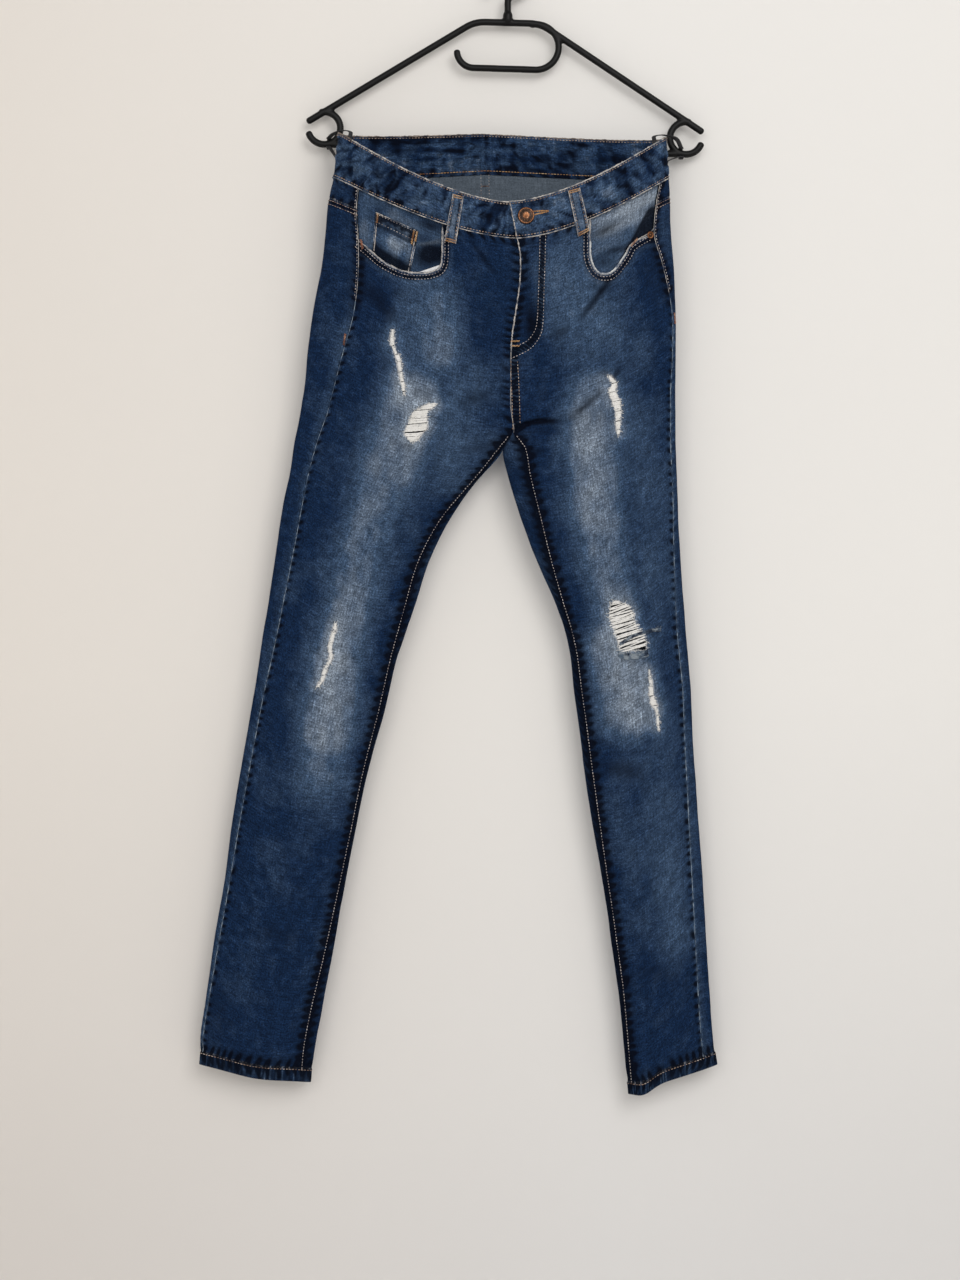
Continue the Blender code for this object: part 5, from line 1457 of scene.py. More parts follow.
@cache
def stitch_tree():
    """Lays one rounded stitch after another along each line."""
    n, given, curve = thread_group(
        "Stitch rows", [("Pitch", "Float", 0.003), ("Stitch length", "Float", 0.0026)], "Stitches")
    points = n.add("GeometryNodeCurveToPoints", {0: curve, "Length": given["Pitch"]}, mode="LENGTH").outputs
    ball = n.add("GeometryNodeMeshUVSphere", {"Segments": 6, "Rings": 4, "Radius": 1.0}).outputs[0]
    factor = uneven(n, given["Seed"])
    thick = n.product(given["Thread radius"], factor)
    size = n.add("ShaderNodeCombineXYZ", {0: thick, 1: thick, 2: n.product(given["Stitch length"], 0.5, factor)})
    return made_real(n, n.add("GeometryNodeInstanceOnPoints", {
        "Points": points[0], "Instance": ball, "Rotation": points["Rotation"], "Scale": size.outputs[0]}).outputs[0])


@cache
def thread_tree():
    """Turns each line into a round thread that wanders a little."""
    n, given, curve = thread_group(
        "Threads", [("Step", "Float", 0.0012), ("Wander", "Float", 0.0002), ("Sides", "Int", 6)], "Threads")
    fine = n.add("GeometryNodeResampleCurve", {0: curve, "Length": given["Step"]}, mode="LENGTH").outputs[0]
    shift = n.add("FunctionNodeRandomValue", {0: (-1.0, -1.0, -1.0), 1: (1.0, 1.0, 1.0), "Seed": given["Seed"]},
                  data_type="FLOAT_VECTOR").outputs[0]
    loose = n.add("GeometryNodeSetPosition", {0: fine, "Offset": n.scaled(shift, given["Wander"])}).outputs[0]
    factor = uneven(n, n.total(given["Seed"], 7))
    ring = n.add("GeometryNodeCurvePrimitiveCircle", {"Resolution": given["Sides"], "Radius": given["Thread radius"]})
    return made_real(n, n.add("GeometryNodeCurveToMesh", {
        0: loose, 1: ring.outputs[0], "Scale": factor, "Fill Caps": True}).outputs[0])


def along_lines(name, lines, tree, finish, slot, **values):
    """Runs a tree over open lines in millimetres and keeps the result as one plain mesh piece."""
    ends = np.cumsum([len(line) for line in lines])
    edges = [(k, k + 1) for k in range(ends[-1] - 1) if k + 1 not in set(ends)]
    mesh = bpy.data.meshes.new(name)
    mesh.from_pydata((np.concatenate(lines) * MM).tolist(), edges, [])
    obj = link(name, mesh)
    run = obj.modifiers.new("make", "NODES")
    run.node_group = tree
    sockets = {item.name: item.identifier for item in tree.interface.items_tree if item.in_out == "INPUT"}
    for label, value in {"Finish": finish, **values}.items():
        run[sockets[label.replace("_", " ")]] = value
    apply_modifiers(obj)
    if not len(obj.data.polygons):
        raise RuntimeError(f"{name}: the tree made nothing")
    one_finish(obj, finish)
    finished(obj, slot)
    return obj


def stitched(name, lines, finish, slot, seed, length=1.0):
    """Rows of stitches at the chosen pitch and size."""
    size = chosen()
    return along_lines(name, lines, stitch_tree(), yarn(finish), slot, Pitch=size.stitch_pitch,
                       Stitch_length=size.stitch_length * length, Thread_radius=size.thread_radius, Seed=seed)


def threaded(name, lines, finish, slot, radius, step, wander, uneven, sides, seed):
    """Round threads along the lines, their sizes in millimetres."""
    return along_lines(name, lines, thread_tree(), yarn(finish), slot, Thread_radius=radius * MM,
                       Step=step * MM, Wander=wander * MM, Unevenness=uneven, Sides=sides, Seed=seed)


def raised(spots, lift):
    """The places of (place, normal) pairs, each lifted off the cloth."""
    places, normals = np.array(list(spots)).transpose(1, 0, 2)
    return places + normals * np.broadcast_to(lift, len(places))[:, None]


def down_line(side, anchor, offset, from_row, to_row, lift=0.2):
    """A line down the cloth, a fixed way across it from a seam's column."""
    across, columns = cloth().across[side], np.arange(COLUMNS + 1)
    return raised((
        cloth().spot(side, i, np.interp(across[i, anchor] + offset, across[i], columns))
        for i in range(level(from_row), level(to_row) + 1)), lift)


def across_line(side, row, offset, first=0, last=COLUMNS, lift=0.2):
    """A line across the cloth, a fixed way down it from a row."""
    down, levels = cloth().down[side], np.arange(len(NUMBERS))
    return raised((
        cloth().spot(side, np.interp(down[level(row), column] + offset, down[:, column], levels), column)
        for column in range(first, last + 1)), lift)


def band_line(side, row, offset, lift, first=WRAP, last=COLUMNS):
    """A line along the waistband, off its outer face, sinking where the band laps under at the fly."""
    turns = UNDERLAP_COLUMNS + COARSE_FRONT * crowded(FRONT)[np.minimum(np.arange(first, last + 1) - WRAP, FRONT)]
    sink = np.clip((LAPPED - turns) / RISE_COLUMNS, 0, 1) * (side == "right")
    return across_line(side, row, offset, first, last, BAND_PROUD - UNDER_BAND * sink + lift)


def free_line(path, face="front", lift=0.2, step=2.0):
    """A line on the cloth through x, z points."""
    return raised((cloth().at(x, z, face) for x, z in evenly(np.array(path, float), step)), lift)


def flap_line(flap, spots, lift=0.2):
    """A line on a flap through (across, down) places from 0 to 1."""
    return free_line([flap_place(flap, *spot) for spot in spots], flap.face, flap.high + flap.arch * 0.8 + lift, 1.5)


def tack(start, end, width, lift=0.5, face="front", pitch=0.75):
    """A close zigzag between two places."""
    start, run = np.array(start, float), np.subtract(end, start)
    length = np.linalg.norm(run)
    run = run / length
    side = np.array([-run[1], run[0]]) * width / 2
    count = max(3, int(length / pitch))
    path = (start + run * length * k / count + side * (1 if k % 2 else -1) for k in range(count + 1))
    return raised((cloth().at(x, z, face) for x, z in path), lift)


def beside(path, distance):
    """The x, z path moved to its right-hand side as it is walked downwards."""
    run = unit(np.gradient(path, axis=0))
    return path + np.stack([run[:, 1], -run[:, 0]], axis=1) * distance


def scoop_edge(side):
    """The opening's edge: down its outer or inner side, along the foot and up again."""
    rows = POCKET_SCOOPS[side]
    if side == "right":
        path = [(-156, -292)] + [(row.left, row.z) for row in rows if row.z < -298]
        path += [(row.right, row.z) for row in rows[::-1] if row.z <= -305] + [(-68, -286)]
    else:
        path = [(84, -278), (84, -292)] + [(row.left, row.z) for row in rows if row.z < -297]
        path += [(row.right, row.z) for row in rows[::-1] if row.z <= -291]
    return smooth_path(path, 4)


# ================================================================ the sewing
INSIDE_BAND, INSIDE_WALL = -BAND_WALL - 0.2, -DENIM_WALL - 0.2


def make_seam_threads():
    """Topstitching in four threads, the way the garment is sewn."""
    tan, pale, brown, orange = [], [], [], []
    for side in SIDES:
        pale.append(down_line(side, WRAP, 1.5, MEET_ROW + 0.25, HEM_ROW))
        pale.append(down_line(side, SIDE_COLUMN, 1.7, WAIST_ROW, 4.55))
        tan.append(across_line(side, HEM_ROW, 1.6, lift=HEM_PROUD + 0.2))
        tan.append(band_line(side, BAND_TOP_ROW, 2.6, 0.2))
        tan.append(band_line(side, WAIST_ROW, -2.6, 0.2))
        for offset in (2.2, 6.2):
            brown.append(across_line(side, YOKE_ROW, offset, SIDE_COLUMN))
            if side == "right":
                brown.append(down_line(side, COLUMNS, -offset, WAIST_ROW, MEET_ROW))
        orange.append(band_line(side, WAIST_ROW, -4.0, INSIDE_BAND, SIDE_COLUMN))
        tan.append(band_line(side, BAND_TOP_ROW, 2.4, INSIDE_BAND, SIDE_COLUMN - 18))
        kept = slice(5, -2) if side == "right" else slice(None, -1)
        pale += [free_line(beside(scoop_edge(side), away)[kept]) for away in (3.0, 6.6)]
    pale += [free_line(smooth_path(path, 5)) for path in (FLY_INNER, FLY_OUTER)]
    tan.append(free_line([(2.8, -423.6), (2.8, -437.8), (3.9, -462.4), (5.0, -491)]))
    tan.append(free_line([(9.5, -423.6), (10.5, -437.8), (11.6, -462.4), (12.2, -484.7)]))
    for spots in ([(0.04, 0.05), (0.96, 0.05)], [(0.04, 0.23), (0.96, 0.23)],
                  [(0.05, 0.05), (0.05, 0.98)], [(0.95, 0.05), (0.95, 0.98)]):
        pale.append(flap_line(COIN_POCKET, spots))
    for pocket in BACK_POCKETS:
        for inset in (0.02, 0.07):
            foot = 1 - inset
            tan.append(flap_line(pocket, [(inset, 0.02), (inset, foot), (0.5, foot), (foot, foot), (foot, 0.02)]))
        for down in (0.025, 0.13):
            tan.append(flap_line(pocket, [(0.03, down), (0.97, down)]))
    tan += [flap_line(flap, [(across, 0.06), (across, 0.94)]) for flap in BELT_LOOPS for across in (0.16, 0.84)]
    seat = [COLUMNS, -4.2, WAIST_ROW, YOKE_ROW + 0.6]
    pale += [down_line(side, *seat, INSIDE_WALL) for side in SIDES]
    inner = zip(*(down_line(side, *seat, INSIDE_WALL - 0.05) for side in SIDES))
    rungs = [np.array([a, (a + b) / 2 - (0, 0.3, 0), b]) for a, b in list(inner)[2::3]]
    threaded("seat_seam_ladder", rungs, "thread_brown", "denim", 0.5, 1.2, 0.15, 0.2, 5, 13)
    stitched("stitches_tan", tan, "thread_tan", "copper", 3)
    stitched("stitches_pale", pale, "thread_pale", "white_cotton", 5, 0.87)
    stitched("stitches_brown", brown, "thread_brown", "denim", 7, 1.13)
    stitched("stitches_orange", orange, "thread_orange", "copper", 9, 1.22)


def make_tacks():
    """Bar tacks and the buttonhole's whipped edge."""
    bars = [tack((2.6, -402.4), (11.4, -402.2), 1.6), tack((2.8, -407.0), (11.4, -407.2), 1.6)]
    rusty = [tack((-168.0, -394.0), (-169.6, -405.5), 2.4), tack((172.0, -371.0), (173.0, -382.0), 1.6),
             tack((-151.6, -298.0), (-149.6, -307.5), 2.8), tack((126.0, -305.0), (132.5, -297.5), 2.2)]
    for flap in BELT_LOOPS:
        for middle, away in ((0.045, -0.022), (0.045, 0.022), (0.955, -0.022), (0.955, 0.022)):
            start, end = (flap_place(flap, across, middle + away) for across in (0.06, 0.94))
            bars.append(tack(start, end, 1.5, flap.high + 0.25, flap.face))
    for across, top, foot in ((0.055, 0.03, 0.25), (0.90, 0.04, 0.33), (0.97, 0.03, 0.24)):
        start, end = flap_place(COIN_POCKET, across, top), flap_place(COIN_POCKET, across, foot)
        bars.append(tack(start, end, 2.2, COIN_POCKET.high + 0.4))
    hole = smooth_path(BUTTONHOLE, 4)
    for away in (-1.6, 1.6):
        row = beside(hole, away)
        row[:, 1] = hole[:, 1] + (row[:, 1] - hole[:, 1]) * np.linspace(1.25, 0.25, len(row))
        bars += [tack(start, end, 1.5, BAND_PROUD + 0.45, pitch=0.7) for start, end in zip(row[:-1], row[1:])]
    threaded("bar_tacks", bars, "thread_orange", "copper", 0.36, 0.9, 0.08, 0.15, 5, 11)
    threaded("bar_tacks_rusty", rusty, "thread_rust", "copper", 0.4, 0.9, 0.1, 0.15, 5, 12)


def make_rubbed_edges():
    """The rolled edges where the dye has rubbed off the yarn: band, fly, pockets, loops and side seams."""
    thin, thick, browned, seams, leg_seams = [], [], [], [], []
    for side in SIDES:
        thick.append(band_line(side, BAND_TOP_ROW, 0.5, -0.45, last=SIDE_COLUMN + 4))
        thin.append(band_line(side, BAND_TOP_ROW, 0.5, -1.5, last=SIDE_COLUMN + 4))
        leg_seams.append(down_line(side, SIDE_COLUMN, 0.2, 4.7, HEM_ROW, -0.05))
        browned += [band_line(side, BAND_TOP_ROW, 0.5, lift, SIDE_COLUMN + 4) for lift in (-0.45, -1.6)]
        thin.append(band_line(side, WAIST_ROW, -0.1, -0.05))
        seams.append(down_line(side, SIDE_COLUMN, 0.2, WAIST_ROW, 4.7, -0.1))
    thick.append(down_line("left", WRAP, 0.5, WAIST_ROW, 5.35, 0.0))
    seams.append(down_line("left", WRAP, 0.6, 5.35, MEET_ROW, 0.0))
    thick.append(raised((cloth().spot("left", row, WRAP + 0.3) for row in range(WAIST + 1)), 0.0))
    thin.append(free_line(scoop_edge("right")[1:-1], lift=-0.15))
    thin.append(free_line(scoop_edge("left"), lift=-0.15))
    rope = free_line(scoop_edge("left")[10:-12], lift=0.1)
    for flap in (*BELT_LOOPS, COIN_POCKET):
        thin += [flap_line(flap, [(across, 0.01), (across, 0.99)], -0.3) for across in (0.045, 0.955)]
    thin.append(flap_line(COIN_POCKET, [(0.01, 0.02), (0.99, 0.02)], -0.1))
    for name, lines, finish, slot, *sizes in (
        ("rubbed_edges", thin, "rubbed_edge", "white_cotton", 0.52, 1.3, 0.16, 0.45, 6, 21),
        ("rubbed_side_seams", seams, "rubbed_edge", "white_cotton", 0.34, 1.6, 0.1, 0.35, 5, 25),
        ("rubbed_band_back", browned, "rubbed_edge_browned", "white_cotton", 0.95, 1.4, 0.14, 0.3, 6, 24),
        ("rubbed_leg_seams", leg_seams, "rubbed_leg_seam", "faded_denim", 0.42, 1.6, 0.14, 0.4, 5, 26),
        ("rubbed_fly", thick, "rubbed_edge", "white_cotton", 0.68, 1.3, 0.22, 0.45, 7, 22),
        ("rubbed_pocket_rope", [rope], "rubbed_rope", "white_cotton", 0.9, 1.5, 0.14, 0.3, 8, 23),
    ):
        threaded(name, lines, finish, slot, *sizes)


# ================================================================ rips
def weft_line(left, right, z, climb, bow, depth, rng):
    """One bared weft thread across a rip, sagging a little between its ends."""
    t = np.arange(7) / 6
    spots = zip(left + (right - left) * t, z + climb * (t - 0.5) - bow * np.sin(np.pi * t))
    lift = depth - 0.75 * np.abs(2 * t - 1) ** 3 + rng.uniform(-0.12, 0.12, 7)
    return raised((cloth().at(*spot) for spot in spots), lift)


def make_wefts():
    """The bared threads of each rip, with a gap here and there."""
    for number, rip in enumerate(RIPS):
        rng = np.random.default_rng(300 + number)
        heights, lefts, rights = np.array(rip.rows, float).T
        patch = "patch" in rip.node
        reach = (0.6, 1.5) if patch else (0.1, 0.5)
        lines, z, to_gap = [], heights[0] + 0.2, rip.between_gaps
        while z > heights[-1] - 0.2:
            left, right = (float(np.interp(-z, -heights, ends)) for ends in (lefts, rights))
            to_gap -= 1
            gap = to_gap < 0
            if gap:
                to_gap = rip.between_gaps + rng.integers(0, 3)
            else:
                climb = (right - left) * rip.climb * rng.uniform(0.7, 1.2)
                bow = (right - left) * rng.uniform(-0.01, 0.035)
                for strand in range(2 if patch and rng.random() < 0.5 else 1):
                    lines.append(weft_line(
                        left - rng.uniform(*reach), right + rng.uniform(*reach),
                        z + strand * rng.uniform(-0.5, 0.5), climb, bow, rng.uniform(-0.35, 0.15), rng))
            z -= rip.pitch * rng.uniform(0.75, 1.3) * (rng.uniform(0.7, 1.1) if gap else 1)
        obj = threaded(f"{rip.node}_threads", lines, "bared_weft_cotton", "bared_weft",
                       rip.radius, 1.1, 0.1, 0.28, 6, 31 + number)
        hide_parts(rip.node)


def make_fringe():
    """Short broken ends of white yarn round each rip, and the blue warp ends left at its edge."""
    white, blue = [], []
    rng = np.random.default_rng(500)
    t = np.arange(4) / 3
    for rip in RIPS:
        outline = rip_outline(rip)
        middle = outline.mean(axis=0)
        for point in outline:
            if rng.random() < 0.30:
                continue
            out = unit(point - middle)
            lean = rng.uniform(-1.2, 1.2)
            turn = np.array([[math.cos(lean), -math.sin(lean)], [math.sin(lean), math.cos(lean)]])
            aim = turn @ out
            length = rng.uniform(0.8, 3.6) * (1.5 if "knee_patch" in rip.node else 1.0)
            curl = np.array([-aim[1], aim[0]]) * rng.uniform(-0.6, 0.6) * 0.6
            path = point - out * 0.5 + (np.outer(t, aim) + np.outer(t**2, curl)) * length
            end = raised((cloth().at(*spot) for spot in path), 0.05 + 0.45 * np.sin(t * 2.4))
            (white if rng.random() < 0.6 else blue).append(end)
    tear = np.array([(136.5, -703.5), (146.8, -699.8), (158.2, -698.2)])
    white.append(free_line(smooth_path(tear, 4), step=1.2))
    for _ in range(9):
        x, z = tear[0] + (tear[2] - tear[0]) * rng.uniform(0.1, 1)
        blue.append(free_line([(x, z), (x + rng.uniform(-1.5, 2.5), z + rng.uniform(1.5, 4.5))], lift=0.25, step=1))
    strip = [(115.5, -713.5), (121, -710), (128, -705.5), (136.5, -702.5), (146.8, -699.8), (157.5, -698.3)]
    strip = smooth_path(strip, 5)
    lip = smooth_path([(113.7, -721.6), (120, -723.8), (128.2, -724.3), (137, -722.6), (144.7, -720.8)], 5)
    torn = [free_line(strip, lift=0.75, step=1.3), free_line(strip + (0.4, -1.5), lift=0.6, step=1.3)]
    torn += [free_line(lip + (0.2 * k, -1.7 * k), lift=0.75 - 0.15 * k, step=1.3) for k in range(4)]
    for path in (strip, lip, lip + (0, -1.4)):
        for _ in range(12):
            x, z = path[rng.integers(1, len(path) - 1)]
            blue.append(free_line([(x, z), (x + rng.uniform(-2.2, 2.8), z + rng.uniform(-2.6, 2.6))], lift=1.1, step=1))
    loose = np.array([(-27.2, -6.5, -188.2), (-27.8, -7.5, -185.0), (-26.4, -8.0, -183.6), (-24.3, -7.0, -184.6),
                      (-22.6, -6.0, -187.4)])
    threaded("torn_knee_strips", torn, "torn_denim", "denim", 1.05, 1.2, 0.28, 0.3, 7, 54)
    threaded("rip_fringe_white", white, "bared_weft_cotton", "bared_weft", 0.2, 0.9, 0.08, 0.3, 4, 51)
    threaded("rip_fringe_blue", blue, "warp_ends", "denim", 0.2, 0.9, 0.08, 0.3, 4, 52)
    threaded("loose_thread", [loose], "thread_pale", "white_cotton", 0.28, 1.0, 0.1, 0.2, 5, 53)


# ================================================================ metal, hanger and tapes
# Profiles as (radius, height) from the centre of the foot to the centre of the top.
BUTTON = [(0, 0.1), (5.8, 0.1), (7.6, 0.2), (8.3, 0.7), (8.6, 1.3), (8.55, 1.9), (8.2, 2.5), (7.7, 2.75), (7.1, 2.7),
          (6.7, 2.4), (6.3, 2.35), (5.7, 2.6), (4.8, 2.95), (3.4, 3.25), (2.0, 3.4), (0.9, 3.48), (0, 3.5)]
RIVET = [(0, 0.02), (2.9, 0.02), (3.5, 0.15), (3.7, 0.45), (3.55, 0.85), (3.1, 1.1), (2.5, 1.05), (2.1, 0.75),
         (1.9, 0.5), (1.6, 0.55), (1.3, 1.0), (0.9, 1.3), (0.4, 1.38), (0, 1.4)]


def ring_faces(rings, sides):
    """Triangles between closed rings of points."""
    numbers = np.arange(rings * sides).reshape(rings, sides)
    return two_triangles(np.concatenate([numbers, numbers[:, :1]], axis=1))


def turned(name, place, lift, profile, sides, dark_rings):
    """A turned round piece that stands on the cloth, with closed poles; its hollows keep their tarnish."""
    point, normal = cloth().at(*place)
    turn = np.array(Vector((0, 0, 1)).rotation_difference(Vector(normal)).to_matrix())
    angles = np.linspace(0, 2 * math.pi, sides, endpoint=False)
    rings = [np.stack([r * np.cos(angles), r * np.sin(angles), np.full(sides, h)], 1) for r, h in profile[1:-1]]
    poles = [(0, 0, profile[0][1]), (0, 0, profile[-1][1])]
    points = (np.concatenate([*rings, poles]) + (0, 0, lift)) @ turn.T + point
    k, last = np.arange(sides), (len(rings) - 1) * sides
    following, foot = (k + 1) % sides, np.full(sides, len(rings) * sides)
    faces = np.concatenate([
        ring_faces(len(rings), sides), np.stack([following, k, foot], 1),
        np.stack([last + k, last + following, foot + 1], 1)])
    kinds = np.zeros(len(faces))
    kinds[: 2 * last] = np.tile(np.repeat(np.isin(np.arange(len(rings) - 1), dark_rings), sides), 2)
    return mesh_object(name, points, faces, [copper(), copper(tarnished=True)], kinds)


def make_metal():
    button = turned("button_cap", BUTTON_PLACE, BAND_PROUD + SEAM_GAP + 0.3, BUTTON, 48, (4, 7, 8, 9, 10, 11))
    finished(button, "copper", "button")
    rivet = turned("rivet_cap", RIVET_PLACE, SEAM_GAP + 0.2, RIVET, 32, (6, 7, 8, 9))
    finished(rivet, "copper", "rivet_left")


def ring_arc(centre, radius, start, end, steps):
    angles = np.radians(np.linspace(start, end, steps + 1))
    return [(centre[0] + radius * math.cos(a), centre[1] + radius * math.sin(a)) for a in angles]


def rounded_corner(before, corner, after, radius, steps=10):
    corner = np.array(corner, float)
    start, end = corner + unit(before - corner) * radius, corner + unit(after - corner) * radius
    return [tuple((1 - t) ** 2 * start + 2 * t * (1 - t) * corner + t**2 * end) for t in np.linspace(0, 1, steps + 1)]


def round_bar(path, radius, sides=20):
    """A round bar along a path in the hanger's plane, with domed ends."""
    path = np.array([(x, 0.0, z) for x, z in path])
    tangents = unit(np.concatenate([path[1:2] - path[:1], path[2:] - path[:-2], path[-1:] - path[-2:-1]]))
    dome = [(0.94, 0.28), (0.72, 0.55), (0.4, 0.72)]
    rings = [(path[0] - tangents[0] * radius * out, radius * share, tangents[0]) for share, out in dome[::-1]]
    rings += [(place, radius, tangent) for place, tangent in zip(path, tangents)]
    rings += [(path[-1] + tangents[-1] * radius * out, radius * share, tangents[-1]) for share, out in dome]
    angles = 2 * math.pi * np.arange(sides)[:, None] / sides
    points = np.concatenate([
        place + size * (np.cross((0, 1, 0), tangent) * np.cos(angles) + np.array((0, 1, 0)) * np.sin(angles))
        for place, size, tangent in rings])
    last = (len(rings) - 1) * sides
    caps = [face for k in range(1, sides - 1) for face in ((0, k, k + 1), (last, last + k + 1, last + k))]
    faces = np.concatenate([ring_faces(len(rings), sides)[:, ::-1], caps])
    return mesh_object("bar", points, faces, [])


HANGER_RADIUS = 3.65
RING_LEFT, RING_RIGHT, RING_RADIUS = (-192.5, -173), (187, -183.5), 17  # the clip rings, joined by the long bar


def make_hanger():
    """One moulded piece: shoulders, clip rings, bar, accessory hook, collar and hook, their joints filleted."""
    left, top_left, top_right, right = (-208.5, -165.5), (-34.5, -61.5), (34, -63.5), (203, -176.5)
    shoulders = [
        left, *rounded_corner(left, top_left, top_right, 11), *rounded_corner(top_left, top_right, right, 11), right]
    accessory = ring_arc((29.5, -88), 23.9, 100, -88, 26) + ring_arc((-35.5, -92), 17.8, 270, 184, 14)
    hook = [(0, -61), (0, -50), *rounded_corner((0, -50), (0, -36), (15.6, -31.4), 4.5, 6)]
    hook += ring_arc((0, HANGER_RADIUS - 21), 21, -42, 212, 40)
    across = [(x, z - RING_RADIUS) for x, z in (RING_LEFT, RING_RIGHT)]
    obj = joined("hanger_body", [
        round_bar(path, HANGER_RADIUS + more) for path, more in (
            (shoulders, 0), (ring_arc(RING_LEFT, RING_RADIUS, 100, -160, 44), 0.05),
            (ring_arc(RING_RIGHT, RING_RADIUS, 80, 336, 44), 0.05), (across, -0.05), (accessory, -0.05), (hook, 0),
            ([(0, -60.2), (0, -54.4)], 1.5))])
    obj.data.materials.append(black_plastic())
    remesh = obj.modifiers.new("melt together", "REMESH")
    remesh.mode, remesh.voxel_size, remesh.use_smooth_shade = "VOXEL", 1.0 * MM, True
    smooth = obj.modifiers.new("fillet", "SMOOTH")
    smooth.factor, smooth.iterations = 0.5, 5
    apply_modifiers(obj)
    finished(obj, "black_plastic", "hanger")


Tape = namedtuple("Tape", "node sewn_x sewn_z top_z bar_x lean tack_x tack_z")
TAPES = table(
    Tape,
    ("hanging_tape_right", -165.5, -208, -181, -187.5, 1.15, -175.5, -213),
    ("hanging_tape_left", 153.5, -214, -186, 181.5, 1.1, 162.5, -218))


def tape_path(tape):
    """Up inside the waistband's corner, over its edge, round the bar and down to its tack."""
    (from_x, from_z), (to_x, to_z) = RING_LEFT, RING_RIGHT
    bar_z = from_z + (to_z - from_z) * (tape.bar_x - from_x) / (to_x - from_x) - RING_RADIUS + tape.lean
    path = []
    for z in (tape.sewn_z, (tape.sewn_z + tape.top_z - 6) / 2, tape.top_z - 6):
        point, normal = cloth().at(tape.sewn_x, z, "back")
        along = np.cross(normal, (0, 0, 1))
        path.append((point - normal * (BAND_WALL - BAND_PROUD + SEAM_GAP + 0.95), along))
    rim, side = path[-1][0], np.sign(along[0])
    level_way = np.array((side, 0, 0))
    over = np.array((tape.bar_x, 0, bar_z))
    way = over - rim
    path.append((rim + (0, 1.0, 5.2), along))
    path.append((rim + (way[0] * 0.35, 6, 7.6), along + (0.6 * side, 0, 0)))
    path.append((rim + (way[0] * 0.8, 14, 5.5), level_way))
    for angle in np.radians((135, 108, 80, 50, 20, -15, -50, -80, -110, -140)):
        path.append((over + (0, 5.0 * math.cos(angle), 6.2 * math.sin(angle)), level_way))
    for drop, rise in ((5, 3.2), (0, 0), (-7, 0)):
        point, normal = cloth().at(tape.tack_x, tape.tack_z + drop, "back")
        path.append((point + normal * (BAND_PROUD + SEAM_GAP + 0.7 + rise), np.cross(normal, (0, 0, 1))))
    return path


def make_tapes():
    for tape in TAPES:
        places, ways = (np.array(column) for column in zip(*tape_path(tape)))
        places, ways = smooth_path(places, 5), smooth_path(unit(ways), 5)
        rows, tangents = len(places), np.gradient(places, axis=0)
        ways = unit(ways - tangents * ((ways * tangents).sum(axis=1) / (tangents**2).sum(axis=1))[:, None])
        normals = np.repeat(unit(np.cross(tangents, ways)), 5, axis=0)
        spread = TAPE_WIDTH * (np.arange(5) / 4 - 0.5)
        base = (places[:, None] + ways[:, None] * spread[:, None]).reshape(-1, 3)
        faces = facing_out(two_triangles(np.arange(rows * 5).reshape(rows, 5)), base, normals)
        uv = np.stack([np.tile(np.linspace(0, TAPE_WIDTH, 5), rows), np.repeat(reach_along(places), 5)], 1)
        crown = np.tile([0.25, 0.5, 0.56, 0.5, 0.25], rows)
        obj = shell(f"{tape.node}_strip", base, normals, faces, faces, uv, crown, -crown, [woven_tape()], {})
        one_finish(obj, woven_tape())
        finished(obj, "black_tape", tape.node)


# ================================================================ the stage
def lamp(name, power, place, size, color):
    light = bpy.data.lights.new(name, "AREA")
    light.energy, light.size, light.color = power, size, color
    obj = link(name, light)
    obj.location = place
    obj.rotation_euler = (Vector((-0.03, 0, -0.65)) - Vector(place)).to_track_quat("-Z", "Y").to_euler()


